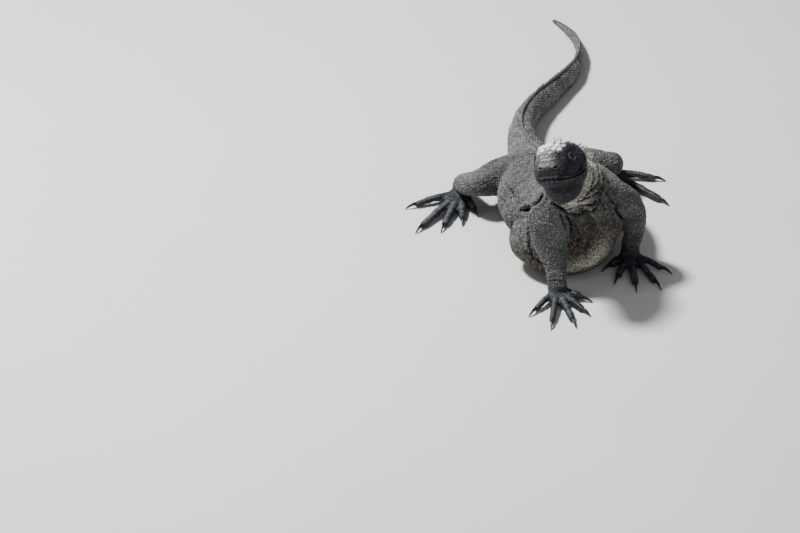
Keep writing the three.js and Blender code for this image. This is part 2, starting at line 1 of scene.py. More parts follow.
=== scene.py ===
import bmesh
import bpy
import math
import numpy as np
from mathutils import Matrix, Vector


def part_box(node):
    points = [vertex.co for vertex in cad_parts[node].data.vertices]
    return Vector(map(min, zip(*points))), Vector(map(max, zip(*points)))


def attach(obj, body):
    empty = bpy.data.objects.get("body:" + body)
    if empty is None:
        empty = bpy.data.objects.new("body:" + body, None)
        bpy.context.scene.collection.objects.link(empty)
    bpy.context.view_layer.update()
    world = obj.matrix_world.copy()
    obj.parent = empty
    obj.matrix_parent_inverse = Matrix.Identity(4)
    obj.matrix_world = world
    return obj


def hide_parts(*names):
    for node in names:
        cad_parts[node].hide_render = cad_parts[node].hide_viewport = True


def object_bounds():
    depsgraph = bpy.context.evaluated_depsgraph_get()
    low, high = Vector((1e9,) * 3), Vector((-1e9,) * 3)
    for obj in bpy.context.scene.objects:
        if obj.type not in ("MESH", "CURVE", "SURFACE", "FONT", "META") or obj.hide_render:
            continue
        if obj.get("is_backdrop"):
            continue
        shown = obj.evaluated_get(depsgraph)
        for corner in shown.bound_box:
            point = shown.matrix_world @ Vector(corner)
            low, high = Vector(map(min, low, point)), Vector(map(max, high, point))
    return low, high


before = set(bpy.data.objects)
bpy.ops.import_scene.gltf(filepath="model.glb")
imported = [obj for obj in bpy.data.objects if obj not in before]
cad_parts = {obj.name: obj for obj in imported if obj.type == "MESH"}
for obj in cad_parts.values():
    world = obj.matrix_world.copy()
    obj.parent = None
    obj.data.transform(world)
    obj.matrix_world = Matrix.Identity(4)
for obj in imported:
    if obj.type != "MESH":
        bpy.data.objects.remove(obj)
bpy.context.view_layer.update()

# Flesh. The animal under its skin: neck, trunk and tail round one body line, a head, and four
# limbs that end in long-toed hands and feet. Each is lofted from measured cross-sections.
# Lengths are in millimetres, with the snout to -Y and the level it rests on at z = 0.
MM = 0.001
UP = np.array([0.0, 0.0, 1.0])
ROUNDNESS = 2.25  # of a cross-section: 2 is an ellipse, more is squarer
INSET = 0.45  # how far the skin lies under the coat's scales

# x, y, z of the body line, half width, height above it and depth below it
BODY = np.array([
    [-13, 11, 164, 22, 21, 22],
    [-8.5, 24, 153, 25, 23, 26],
    [0, 36, 136, 28, 26, 29],
    [8, 47, 116, 37, 31, 34],
    [12, 59, 93, 46, 36, 41],
    [10, 76, 71, 54, 41, 48],
    [5, 98, 56, 65, 42, 51],
    [-1, 123, 49, 71, 40, 50],
    [-9, 151, 45, 71, 37, 46],
    [-17, 179, 41, 64, 34, 42],
    [-25, 206, 36, 51, 31, 37],
    [-31, 230, 32, 40, 27.5, 33],
    [-37, 255, 28, 29, 24, 28.6],
    [-44, 286, 25, 21, 21, 25.6],
    [-49, 326, 22, 16, 18.5, 22.6],
    [-45, 371, 20, 12.5, 17, 20.6],
    [-30, 415, 18, 10, 15.5, 18.6],
    [-8, 457, 16, 8, 14, 16.6],
    [12, 499, 13.5, 6.4, 12.3, 14.1],
    [22, 543, 11, 5, 10.2, 11.6],
    [20, 586, 8.5, 3.8, 7.8, 9.1],
    [7, 622, 5.8, 2.6, 5, 6.3],
    [-8, 650, 3, 1.2, 2.4, 3.4],
], float)
BODY_END = len(BODY) - 1
POUCH = ((-6, 70, 34.5), (60, 49, 36))  # the low belly between the arms: centre, half sizes


def unit(vectors):
    return vectors / np.maximum(np.linalg.norm(vectors, axis=-1, keepdims=True), 1e-9)


def row_at(rows, u):
    """The smooth curve through the rows, at each u."""
    u = np.clip(np.atleast_1d(np.asarray(u, float)), 0, len(rows) - 1)
    i = np.minimum(u.astype(int), len(rows) - 2)
    t = (u - i)[:, None]
    start, end = rows[i], rows[i + 1]
    slope_in = (end - rows[np.maximum(i - 1, 0)]) / 2
    slope_out = (rows[np.minimum(i + 2, len(rows) - 1)] - start) / 2
    bend = 2 * start - 2 * end + slope_in + slope_out
    rise = 3 * end - 3 * start - 2 * slope_in - slope_out
    return ((bend * t + rise) * t + slope_in) * t + start


def stations(rows, u, hint=UP):
    """Place, tailward direction, side, up and half sizes of the cross-sections at u."""
    here = row_at(rows, u)
    along = unit((row_at(rows, np.asarray(u) + 0.02) - row_at(rows, np.asarray(u) - 0.02))[:, :3])
    side = unit(np.cross(along, hint))
    return here[:, :3], along, side, np.cross(side, along), here[:, 3:]


def rings_to_faces(rings, sides):
    """Quads between closed rings of points, and a fan over each end."""
    first = np.arange((rings - 1) * sides)
    turn = first // sides * sides + (first % sides + 1) % sides
    quads = np.stack([first, turn, turn + sides, first + sides], 1).tolist()
    head, tail = rings * sides, rings * sides + 1
    last = (rings - 1) * sides
    ends = [[head, (j + 1) % sides, j] for j in range(sides)]
    ends += [[tail, last + j, last + (j + 1) % sides] for j in range(sides)]
    return quads + ends


def tube(rows, first=0.0, last=None, steps=40, sides=48, hint=UP, grow=0.0):
    rows = np.asarray(rows, float)
    last = len(rows) - 1 if last is None else last
    at, along, side, up, size = stations(rows, np.linspace(first, last, steps + 1), hint)
    angle = 2 * np.pi * np.arange(sides) / sides
    across = np.sign(np.cos(angle)) * np.abs(np.cos(angle)) ** (2 / ROUNDNESS)
    rise = np.sign(np.sin(angle)) * np.abs(np.sin(angle)) ** (2 / ROUNDNESS)
    wide = (size[:, :1] + grow) * across
    tall = (np.where(rise > 0, size[:, 1:2], size[:, 2:3]) + grow) * rise
    ring = at[:, None] + side[:, None] * wide[..., None] + up[:, None] * tall[..., None]
    points = np.concatenate([ring.reshape(-1, 3), ring[0].mean(0)[None], ring[-1].mean(0)[None]])
    return points, rings_to_faces(steps + 1, sides)


def ball(centre, sizes, across=28, down=18):
    turn = 2 * np.pi * np.arange(across) / across
    tilt = np.pi * (np.arange(down - 1) + 1) / down
    ring = np.stack([
        np.outer(np.sin(tilt), np.cos(turn)),
        np.outer(np.sin(tilt), np.sin(turn)),
        np.outer(-np.cos(tilt), np.ones(across)),
    ], -1).reshape(-1, 3)
    points = np.concatenate([ring, [[0, 0, -1.0]], [[0, 0, 1.0]]]) * sizes + centre
    return points, rings_to_faces(down - 1, across)


flesh = [tube(BODY, steps=150, sides=56, grow=-INSET), ball(*map(np.array, POUCH))]

# The head in its own frame, snout to -Y, turned to the animal's right and raised.
HEAD_CENTRE = np.array([-14, 5, 166.0])
HEAD_YAW, HEAD_PITCH, HEAD_ROLL = np.radians([-19, 18, -15])
HEAD = np.array([
    [0, -37.6, -6, 3, 3, 3],
    [0, -36.6, -6, 10.5, 8.5, 9],
    [0, -33.5, -5.5, 15.5, 12.5, 12.5],
    [0, -28, -4.5, 19, 16, 16],
    [0, -20, -2.5, 21.5, 20, 19.5],
    [0, -11, -1.5, 24, 23.5, 21.5],
    [0, -2, -1, 26.5, 25, 23.5],
    [0, 8, -1, 28.5, 25, 25.5],
    [0, 17, -1.5, 28, 24, 26],
    [0, 27, -3, 26, 22, 25],
], float)


def turned(angle, axis):
    """The matrix of a turn about X, Y or Z (axis 0, 1 or 2)."""
    made = np.eye(3)
    a, b = [(1, 2), (2, 0), (0, 1)][axis]
    made[a, a] = made[b, b] = math.cos(angle)
    made[b, a] = math.sin(angle)
    made[a, b] = -made[b, a]
    return made


head_turn = turned(HEAD_YAW, 2) @ turned(-HEAD_PITCH, 0) @ turned(HEAD_ROLL, 1)


def from_head(points):
    return np.asarray(points, float) @ head_turn.T + HEAD_CENTRE


def to_head(points):
    return (points - HEAD_CENTRE) @ head_turn


def head_section(y):
    """Middle height and half sizes of the head's cross-section at y."""
    u = np.linspace(0, len(HEAD) - 1, 400)
    rows = row_at(HEAD, u)
    return [np.interp(y, rows[:, 1], rows[:, k]) for k in (2, 3, 4, 5)]


def head_half_width(y, z):
    middle, wide, high, deep = head_section(y)
    share = np.abs(z - middle) / np.where(z > middle, high, deep)
    return wide * np.maximum(0, 1 - share**ROUNDNESS) ** (1 / ROUNDNESS)


THROAT = (np.array([0, 8, -24.0]), np.array([21, 25, 20.0]))  # the loose throat under the jaw
head_flesh = [tube(HEAD, steps=60, sides=72, grow=-0.2), ball(THROAT[0], THROAT[1] - INSET)]
for side in (-1, 1):
    head_flesh.append(ball(np.array([18 * side, 8, -9]), np.array([12, 15, 15])))
    head_flesh.append(ball(np.array([8.5 * side, -31, 3.5]), np.array([4.4, 4.6, 3.6])))
    brow = [
        [side * (head_half_width(y, z) - 1.2), y, z, 3, 3, 3]
        for y, z in ((-27, 11), (-19, 15), (-10, 18), (0, 18.5), (9, 16))
    ]
    head_flesh.append(tube(brow, steps=24, sides=14))
flesh += [(from_head(points), faces) for points, faces in head_flesh]

# Limbs: rows as in BODY, with the row of the sharpest bend, the side and where the paw points.
ARM_RIGHT = [
    [-4, 46, 104, 18, 18, 18],
    [-21, 33, 101, 22, 19.5, 19.5],
    [-23, 27, 81, 22.5, 19.5, 18.5],
    [-22, 24, 58, 19.5, 16, 16],
    [-16, 12, 36, 12.7, 12, 12],
    [-13.5, 0, 19, 10.5, 9, 9],
    [-12, -8, 11, 11, 7, 8],
]
ARM_LEFT = [
    [20, 56, 106, 17, 17, 17],
    [38, 51, 108, 18, 17, 17],
    [58, 55, 96, 17, 16, 16],
    [73, 64, 75, 14, 13.5, 13.5],
    [75, 76, 47, 11.5, 11.5, 11.5],
    [71, 82, 21, 10.5, 9, 9],
    [70, 75, 11, 11, 7, 8],
]
PELVIS = np.array([-31, 230, 32.0])
PELVIS_YAW = math.radians(15)
# A hind leg from the pelvis: steps to the side, forwards, up, then the half sizes.
LEG = [
    [10, -2, 34, 20, 20, 20],
    [34, 4, 36, 24, 22, 22],
    [58, 16, 39, 21, 19, 19],
    [78, 24, 40, 16, 15, 15],
    [86, 6, 31, 13.5, 13, 13],
    [86, -17, 19, 10.5, 10, 10],
    [86, -22, 8, 10.5, 8, 8],
]


def leg_rows(side, forward):
    out = np.array([side * math.cos(PELVIS_YAW), side * math.sin(PELVIS_YAW), 0])
    ahead = np.array([math.sin(PELVIS_YAW), -math.cos(PELVIS_YAW), 0])
    rows = []
    for i, (aside, onward, z, *sizes) in enumerate(LEG):
        at = PELVIS + out * aside + ahead * (onward + forward * min(1, i / 3))
        rows.append([at[0], at[1], z, *sizes])
    return rows


ARM_HINT = np.array([0, -1, 0.35])
LEG_HINT = np.array([0, 0.25, 1.0])
# Palm length and half width, toe radius, claw length, and for each digit from the thumb outwards
# its spread in degrees, its reach from the wrist and its share of the toe's thickness
HAND = (19, 13, 4.2, 14, [(-59, 29, 1.08), (-27, 46, 1), (-4, 60, 1.03), (18, 62, 0.97), (47, 43, 0.93)])
FOOT = (27, 14.5, 4.6, 13, [(-42, 36, 1.04), (-20, 54, 1), (-3, 72, 1.03), (13, 86, 1.01), (48, 58, 0.94)])
LIMBS = [
    ("arm_right", np.array(ARM_RIGHT, float), ARM_HINT, 1, -1, 12, HAND),
    ("arm_left", np.array(ARM_LEFT, float), ARM_HINT, 1, 1, 8, HAND),
    ("leg_right", np.array(leg_rows(-1, 0)), LEG_HINT, 3, -1, -20, FOOT),
    ("leg_left", np.array(leg_rows(1, -4)), LEG_HINT, 3, 1, 34, FOOT),
]


def digit_rows(root, angle, reach, share, palm, toe):
    """A toe: thick at its knuckles, thin between them and low at its end."""
    heading = np.array([math.sin(angle), -math.cos(angle)])
    span = reach - palm
    plan = [
        (4, 8, 1.15),
        (0.85 * palm, 7, 1.12),
        (palm + 0.2 * span, 7.2, 0.98),
        (palm + 0.33 * span, 7.1, 0.9),
        (palm + 0.47 * span, 6.5, 1.03),
        (palm + 0.6 * span, 5.6, 0.88),
        (palm + 0.74 * span, 4.9, 0.95),
        (palm + 0.92 * span, 3.8, 0.9),
        (reach, 3.4, 0.6),
    ]
    return np.array([
        [*(root + along * heading), z, *([size * share * toe] * 3)] for along, z, size in plan
    ])


digits = []  # (limb, rows, heading, claw length) of all twenty
palms = []
for number, (name, rows, hint, bend, side, turn, plan) in enumerate(LIMBS):
    x, y, z, wide, high, deep = rows[bend]
    flesh.append(tube(rows[: bend + 1], steps=12 * bend, sides=36, hint=hint, grow=-INSET))
    flesh.append(ball(rows[bend, :3], np.array([0.98 * wide] * 2 + [(high + deep) / 2]) - INSET))
    flesh.append(tube(rows[bend:], steps=60, sides=36, hint=hint, grow=-INSET))
    palm, palm_width, toe, claw_length, spread = plan
    root = rows[5, :2]
    middle = math.radians(turn + side * spread[2][0])
    ahead = np.array([math.sin(middle), -math.cos(middle)])
    palm_rows = np.array([
        [*(root + reach * ahead), z, share * palm_width, high, z + 0.8]
        for reach, z, share, high in (
            (-7, 12, 0.7, 9), (3, 9, 0.86, 7.5), (0.5 * palm, 7.6, 1, 6),
            (0.9 * palm, 6.4, 1.02, 4.6), (palm + 2, 5.2, 0.8, 3),
        )
    ])
    palms.append(palm_rows)
    flesh.append(tube(palm_rows, steps=24, sides=36, grow=-0.3))
    for degrees, reach, share in spread:
        angle = math.radians(turn + side * degrees)
        made = digit_rows(root, angle, reach, share, palm, toe)
        digits.append((number, made, np.array([math.sin(angle), -math.cos(angle), 0]), claw_length))
        flesh.append(tube(made, steps=36, sides=18, grow=-0.2))

# Skin. One loose, wrinkled hide over all the flesh, with no seam: the forms are grown together,
# their joins filled, then folds, lips, lids, nostrils and ear are worked into the surface.
VOXEL = 1.7


def placed(name, data):
    made = bpy.data.objects.new(name, data)
    bpy.context.scene.collection.objects.link(made)
    return made


def read(items, name, width, kind=np.float32):
    """One property of a mesh's points, edges or faces, a row for each."""
    values = np.empty(len(items) * width, kind)
    items.foreach_get(name, values)
    return values.reshape(-1, width)


def points_of(mesh):
    return read(mesh.vertices, "co", 3).astype(float)


def edges_of(mesh):
    return read(mesh.edges, "vertices", 2, np.int32)


def normals_of(mesh):
    return read(mesh.vertex_normals, "vector", 3).astype(float)


def set_points(mesh, points):
    mesh.vertices.foreach_set("co", points.astype(np.float32).ravel())
    mesh.update()


def relaxed(rows, edges, share, rounds):
    """Rows of values at the points, drawn towards the mean of their neighbours by a share."""
    count = len(rows)
    degree = np.bincount(edges.ravel(), minlength=count)[:, None]
    share = np.broadcast_to(share, count)[:, None]
    for _ in range(rounds):
        total = np.stack([
            np.bincount(edges[:, 0], rows[edges[:, 1], k], count)
            + np.bincount(edges[:, 1], rows[edges[:, 0], k], count)
            for k in range(rows.shape[1])
        ], 1)
        rows = rows + share * (total / np.maximum(degree, 1) - rows)
    return rows


def ramp(value, low, high):
    t = np.clip((value - low) / (high - low), 0, 1)
    return t * t * (3 - 2 * t)


def bump(value, width):
    return np.exp(-((value / width) ** 2))


all_points, all_faces, offset = [], [], 0
for points, faces in flesh:
    all_points.append(points)
    all_faces += [[i + offset for i in face] for face in faces]
    offset += len(points)
skin_mesh = bpy.data.meshes.new("skin")
skin_mesh.from_pydata(np.concatenate(all_points).tolist(), [], all_faces)
skin = placed("skin", skin_mesh)


def reworked(kind, **settings):
    """The skin's mesh as one modifier leaves it."""
    modifier = skin.modifiers.new(kind, kind)
    for name, value in settings.items():
        setattr(modifier, name, value)
    made = bpy.data.meshes.new_from_object(skin.evaluated_get(bpy.context.evaluated_depsgraph_get()))
    skin.modifiers.clear()
    skin.data = made
    return made


joined = reworked("REMESH", mode="VOXEL", voxel_size=VOXEL)

# Where limbs leave the trunk and bend, the hide stretches over the joins: place and reach.
WEBS = [
    ((-20, 42, 96), 34), ((36, 54, 100), 32), ((0, 30, 135), 30), ((-9, 50, 62), 44), ((30, 60, 60), 40),
    ((-45, 50, 45), 36), ((-60, 225, 34), 36), ((2, 232, 34), 36), ((-27, 24, 58), 18), ((73, 64, 73), 20),
]
points, edges = points_of(joined), edges_of(joined)
KNEE_REACH, KNEE_CORE = 26, 12
webs = [(place, reach, 0.5 * reach) for place, reach in WEBS]
webs += [(rows[bend, :3], KNEE_REACH, KNEE_CORE) for name, rows, hint, bend, *rest in LIMBS[2:]]
share = np.zeros(len(points))
for place, reach, core in webs:
    share = np.maximum(share, ramp(-np.linalg.norm(points - place, axis=1), -reach, -core))
points = relaxed(points, edges, 0.6 * share, 40)
points = relaxed(points, edges, 0.5, 2)
set_points(joined, points)

# Finer mesh: everywhere once, and the head once more for its small forms.
fine = reworked("SUBSURF", levels=1, render_levels=1)
shape = bmesh.new()
shape.from_mesh(fine)
HEAD_REACH = 54
middle = Vector(from_head([0, -6, 0]))
near = {v for v in shape.verts if (v.co - middle).length < HEAD_REACH}
inner = [edge for edge in shape.edges if edge.verts[0] in near and edge.verts[1] in near]
bmesh.ops.subdivide_edges(shape, edges=inner, cuts=1, use_grid_fill=True)
shape.to_mesh(fine)
shape.free()
points, edges = points_of(fine), edges_of(fine)
near_head = ramp(-np.linalg.norm(points - np.array(middle), axis=1), -HEAD_REACH - 2, -HEAD_REACH + 2)
points = relaxed(points, edges, 0.5 * near_head, 3)
set_points(fine, points)
normals = normals_of(fine)


def noise(points, size, seed):
    """Smooth noise, about -1 to 1, with forms about `size` across."""
    p = np.asarray(points, float) / size + 1000 + 17.3 * seed
    cell = np.floor(p).astype(np.int64)
    f = p - cell
    fade = f * f * f * (f * (f * 6 - 15) + 10)
    total = np.zeros(len(p))
    for corner in range(8):
        step = np.array([corner & 1, corner >> 1 & 1, corner >> 2 & 1])
        c = cell + step
        mixed = (c[:, 0] * 73856093) ^ (c[:, 1] * 19349663) ^ (c[:, 2] * 83492791)
        mixed = (mixed ^ (mixed >> 13)) * 1274126177 & 0xFFFFFFFF
        slope = np.stack([(mixed >> shift & 1023) / 511.5 - 1 for shift in (2, 12, 22)], 1)
        weight = np.prod(np.where(step, fade, 1 - fade), 1)
        total += weight * np.sum(slope * (f - step), 1)
    return 1.3 * total


# The lines that the hide lies round: body, limbs, palms and digits. Each sample has its place,
# directions, radius and part.
line_at, line_along, line_up, line_radius, line_part, line_u = [], [], [], [], [], []


def add_line(rows, hint, part, samples):
    u = np.linspace(0, len(rows) - 1, samples)
    at, along, side, up, size = stations(rows, u, hint)
    line_at.append(at)
    line_along.append(along)
    line_up.append(up)
    line_radius.append((2 * size[:, 0] + size[:, 1] + size[:, 2]) / 4)
    line_part.append(np.full(samples, part))
    line_u.append(u)


BODY_PART, HEAD_PART, LIMB_PART, DIGIT_PART = 0, 1, 2, 6
PER_PAW = 6  # the palm and five digits
add_line(BODY[1:], UP, BODY_PART, 240)
line_u[0] = line_u[0] + 1
head_line = HEAD.copy()
head_line[:, :3] = from_head(HEAD[:, :3])
add_line(head_line[2:9], head_turn[:, 2], HEAD_PART, 40)
for number, (name, rows, hint, *rest) in enumerate(LIMBS):
    add_line(rows[1:6], hint, LIMB_PART + number, 50)
    add_line(palms[number], UP, DIGIT_PART + PER_PAW * number, 12)
for index, (number, rows, heading, length) in enumerate(digits):
    add_line(rows[2:], UP, DIGIT_PART + PER_PAW * number + 1 + index % 5, 20)
pouch_at, pouch_size = map(np.array, POUCH)
pouch_y = np.linspace(-0.75, 0.75, 9)[:, None] * pouch_size[1]
pouch_x = np.linspace(-0.42, 0.42, 5)[None] * pouch_size[0]
pouch_left = 1 - (pouch_y / pouch_size[1]) ** 2 - 0.6 * (pouch_x / pouch_size[0]) ** 2
pouch_radius = pouch_size[2] * np.sqrt(pouch_left)
pouch_place = np.stack(np.broadcast_arrays(pouch_x + pouch_at[0], pouch_y + pouch_at[1], pouch_at[2]), -1)
pouch_place = pouch_place.reshape(-1, 3)
pouch_u = np.interp(pouch_place[:, 1], BODY[2:8, 1], np.arange(2, 8))
line_at.append(pouch_place)
line_along.append(np.tile([0.0, 1.0, 0.0], (len(pouch_place), 1)))
line_up.append(np.tile(UP, (len(pouch_place), 1)))
line_radius.append(pouch_radius.ravel())
line_part.append(np.zeros(len(pouch_place), int))
line_u.append(np.maximum(pouch_u, 4.0))
line_at, line_along, line_up = map(np.concatenate, (line_at, line_along, line_up))
line_radius, line_part, line_u = map(np.concatenate, (line_radius, line_part, line_u))


SEARCH_STEP = 8000


def nearest_line(points):
    """For each point, the sample of the lines whose tube it lies nearest to."""
    found = np.empty(len(points), np.int32)
    offset = (line_at**2).sum(1) - line_radius**2
    for start in range(0, len(points), SEARCH_STEP):
        part = points[start : start + SEARCH_STEP]
        found[start : start + SEARCH_STEP] = np.argmin(offset - 2 * part @ line_at.T, 1)
    return found


def place_on_body(points, found):
    """How far along its line each point is, and its angle round it, from the side towards the top."""
    away = points - line_at[found]
    side = np.cross(line_up[found], -line_along[found])
    angle = np.arctan2((away * line_up[found]).sum(1), (away * side).sum(1))
    return line_u[found], angle


found = nearest_line(points)
part = line_part[found]
along_u, round_angle = place_on_body(points, found)
on_body, on_head = part == BODY_PART, part == HEAD_PART
on_limb = (part >= LIMB_PART) & (part < DIGIT_PART)
on_paw = part >= DIGIT_PART
depth = np.zeros(len(points))  # how far each point of the hide is raised

# Slack of the hide everywhere but on the head and toes
slack = np.where(on_head, 0.15, np.where(on_paw, 0.25, 1.0))
depth += slack * (0.9 * noise(points, 26, 1) + 0.5 * noise(points, 11, 2))


def distance_to_line(points, line):
    best = np.full(len(points), 1e9)
    for start, end in zip(line[:-1], line[1:]):
        span = end - start
        t = np.clip((points - start) @ span / (span @ span), 0, 1)
        best = np.minimum(best, np.linalg.norm(points - start - t[:, None] * span, axis=1))
    return best


# Wrinkles run round the trunk and the limbs, closest where the hide is loosest: broad folds with
# fine cracks between them.
wrinkle_place = np.stack([along_u * 14, 2.2 * np.cos(round_angle), 2.2 * np.sin(round_angle)], 1)
wrinkle_place += 0.9 * np.stack([noise(points, 30, s) for s in (3, 4, 5)], 1)
wrinkle = noise(wrinkle_place, 1.0, 6)
crack = noise(wrinkle_place, 0.8, 31)
patchy = 0.35 + 0.65 * ramp(noise(points, 45, 7), -0.4, 0.4)
loose = np.where(on_body, ramp(-along_u, -11.5, -8) * patchy, 0)
loose = np.where(on_limb, 0.5, loose)
loose = relaxed(loose[:, None], edges, 0.7, 12)[:, 0]
depth += loose * (1.1 * np.minimum(1 - 2 * np.abs(wrinkle), 0.5) - 1.3 * bump(crack, 0.06))

# Rings of bare hide at each wrist and ankle
WRIST_RINGS = [(3.82, 1.5, 0.035), (3.62, 0.9, 0.03), (3.4, 0.6, 0.03)]  # place, depth, width
for ring_place, ring_depth, ring_width in WRIST_RINGS:
    depth -= np.where(on_limb, ring_depth * bump(along_u - ring_place, ring_width), 0)

# Collar: rolls of loose hide hang round the throat, behind the jaw, and die out up the neck. Those
# on the animal's left are drawn one by one among the creases.
behind_jaw = to_head(points)
COLLAR_CENTRE, COLLAR_SIZE = np.array([0, 6, -20.0]), np.array([24, 27, 24.0])
collar = np.linalg.norm((behind_jaw - COLLAR_CENTRE) / COLLAR_SIZE, axis=1) + 0.05 * noise(points, 16, 8)
on_neck = on_body & (along_u < 3.6)
COLLAR_FIRST, COLLAR_SPACING, COLLAR_ROLLS = 1.03, 0.22, 3
collar_turn = (collar - COLLAR_FIRST) / COLLAR_SPACING
roll = np.abs(np.sin(np.pi * np.clip(collar_turn, 0, COLLAR_ROLLS)))
collar_share = on_neck * ramp(-collar_turn, -COLLAR_ROLLS - 0.3, -COLLAR_ROLLS + 0.7)
collar_share = collar_share * ramp(collar_turn, -0.4, 0.1) * ramp(-behind_jaw[:, 2], -16, -2)
collar_share = relaxed(collar_share[:, None], edges, 0.6, 6)[:, 0]
collar_share = collar_share * ramp(-behind_jaw[:, 0], 2, 12)
ROLL_RISE, ROLL_SUNK = 5.2, 3.4
depth += collar_share * (ROLL_RISE * roll - ROLL_SUNK)

# Single creases, drawn as they are seen from ahead and 30 degrees above: points across and up in
# millimetres, then their width, their depth, the height of the roll beside them and how strongly painted
# shade darkens them.
VIEW_TILT = math.radians(30)
SEEN_FROM = np.array([0, -math.cos(VIEW_TILT), math.sin(VIEW_TILT)])
SEEN_UP = np.array([0, math.sin(VIEW_TILT), math.cos(VIEW_TILT)])
CREASES = [
    ([(-41.4, 98), (-44.2, 84), (-44.8, 69), (-43.7, 56), (-39.8, 42)], 1.5, 3.8, 0.9, 0.9),
    ([(-52, 97.5), (-45, 99.5), (-40, 103), (-34.2, 107.3), (-31, 113)], 2.0, 5.0, 1.0, 1.0),
    ([(-51, 96.5), (-43, 97.5)], 2.4, 3.4, 0.5, 1.0),
    ([(25.5, 143), (25.5, 130), (22, 119), (15.5, 111)], 1.3, 3.2, 1.3, 1.0),
    ([(30.2, 145), (31.5, 135), (30, 127.9), (24.2, 118.8)], 1.4, 3.4, 1.5, 1.0),
    ([(37, 132), (34, 124), (31.8, 118.8), (24.6, 114), (17.6, 110.4), (9, 106.7)], 1.2, 3.4, 1.5, 1.0),
    ([(33, 114), (30.2, 110.7), (26, 105.2), (11.8, 100.7), (0, 100)], 1.2, 3.2, 1.5, 1.0),
    ([(-18, 104), (-6.4, 97.4), (2, 93.5), (11.8, 92.3), (24.8, 95.5), (31.1, 105.2), (36.4, 124.7)],
     1.6, 3.6, 1.4, 1.0),
    ([(-4.5, 92), (1.1, 83.8), (1.7, 74.8)], 1.4, 2.8, 0.6, 0.7),
    ([(-10, 92), (-5.4, 80), (-3.2, 68), (-2.2, 56)], 1.3, 2.2, 0.6, 0.6),
    ([(50.4, 100.6), (54.9, 92.7), (60.5, 87.1)], 1.5, 2.8, 0.7, 0.8),
    ([(40, 118), (46, 108), (54, 101)], 1.4, 2.6, 0.6, 0.6),
    ([(30, 122), (33, 110), (38, 98)], 1.4, 2.2, 0.6, 0.5),
    ([(-54, 78), (-55, 66), (-50, 52), (-42, 40)], 1.2, 2.0, 0.5, 0.5),
    ([(-62, 84), (-63, 70), (-58, 56)], 1.2, 1.8, 0.5, 0.4),
    ([(-70, 128), (-62, 118), (-58, 106)], 1.5, 2.2, 0.6, 0.6),
    ([(-76, 112), (-70, 104), (-66, 92)], 1.5, 2.0, 0.5, 0.4),
    ([(12, 100), (20, 92), (25.8, 80.4), (24.6, 63.6), (16.8, 51.3), (2.2, 47.9)], 5.0, 4.2, 1.6, 0.3),
    ([(2, 84), (9, 78), (12, 68), (8, 58)], 1.6, 1.6, 0.6, 0.3),
    ([(-26, 36), (-38, 42), (-48, 52)], 1.2, 1.6, 0.5, 0.5),
    ([(-28, 29), (-40, 34), (-51, 44)], 1.2, 1.6, 0.5, 0.5),
]


LINE_GAP, START_OUT = 1.8, 400


def on_surface(line):
    """The line as seen from ahead, laid on the hide, with a point every LINE_GAP millimetres."""
    line = np.asarray(line, float)
    travelled = np.concatenate([[0], np.cumsum(np.linalg.norm(np.diff(line, axis=0), axis=1))])
    run = np.linspace(0, travelled[-1], max(2, int(travelled[-1] / LINE_GAP) + 1))
    laid = []
    for across, up in zip(*(np.interp(run, travelled, line[:, k]) for k in (0, 1))):
        start = START_OUT * SEEN_FROM + np.array([across, 0, 0]) + up * SEEN_UP
        hit, at, facing, index = skin.ray_cast(Vector(start), Vector(-SEEN_FROM))
        if hit:
            laid.append(at)
    return np.array(laid)


bpy.context.view_layer.update()
VALLEY = 0.42  # how much of a roll the painted shade of the valley beside it takes up
# Painted shade: the dark valleys between the collar's rolls and the dark lines along the single creases.
painted_crease_shade = collar_share * bump(roll, VALLEY)
wander = 0.4 * noise(points, 9, 41)
for line, width, deep, beside, crease_shade_share in CREASES:
    away = np.maximum(distance_to_line(points, on_surface(line)) + wander, 0)
    depth += beside * bump(away - 2.4 * width, 1.2 * width) - deep * bump(away, width)
    painted_crease_shade = np.maximum(painted_crease_shade, crease_shade_share * bump(away, 0.9 * width))
BELLY_RIM = on_surface([(33, 97), (38, 74), (35, 54), (22, 39), (2, 33)])
RIM_RISE, RIM_WIDTH = 2.2, 9
depth += RIM_RISE * bump(distance_to_line(points, BELLY_RIM), RIM_WIDTH)
FLANK = on_surface([(-54, 50), (-40, 36), (-27, 30)])

# Head: mouth, lips, nostrils, ears and lids, in the head's own frame
EYE_CENTRE = np.array([18.4, -10, 8.5])
EYE_RADIUS = 6.3
EYE_AIM = unit(np.array([0.93, -0.33, 0.22]))
LID_OPENING = (4.2, 2.5)  # half length and half height
MOUTH_LINE = np.array([[-46, -10], [-36, -10], [-24, -11.5], [-12, -12.5], [-3, -10.5], [4, -7]], float)
on_side = to_head(points)
flip = np.ones((len(points), 3))
flip[:, 0] = np.where(on_side[:, 0] < 0, -1.0, 1.0)
mirrored = on_side * flip
within_head = near_head * ramp(-mirrored[:, 1], -34, -24)
from_mouth = distance_to_line(mirrored[:, 1:], MOUTH_LINE)
LIP, GROOVE = (0.7, 2.2, 1.3), (1.1, 0.5)  # height, place and width; depth and width
depth += within_head * (LIP[0] * bump(from_mouth - LIP[1], LIP[2]) - GROOVE[0] * bump(from_mouth, GROOVE[1]))
NOSTRIL, NOSTRIL_SIZE = np.array([8.6, -35.2, 3.2]), np.array([1.25, 1.0, 0.8])
from_nostril = np.linalg.norm((mirrored - NOSTRIL) / NOSTRIL_SIZE, axis=1)
depth += within_head * (0.7 * bump(from_nostril - 2.5, 1.0) - 2.2 * ramp(-from_nostril, -1.9, -0.9))
EAR, EAR_SIZE, EAR_OUT = np.array([12.5, 5.0]), np.array([4.2, 5.6]), 18
from_ear = np.linalg.norm((mirrored[:, 1:] - EAR) / EAR_SIZE, axis=1)
on_ear = within_head * (mirrored[:, 0] > EAR_OUT)
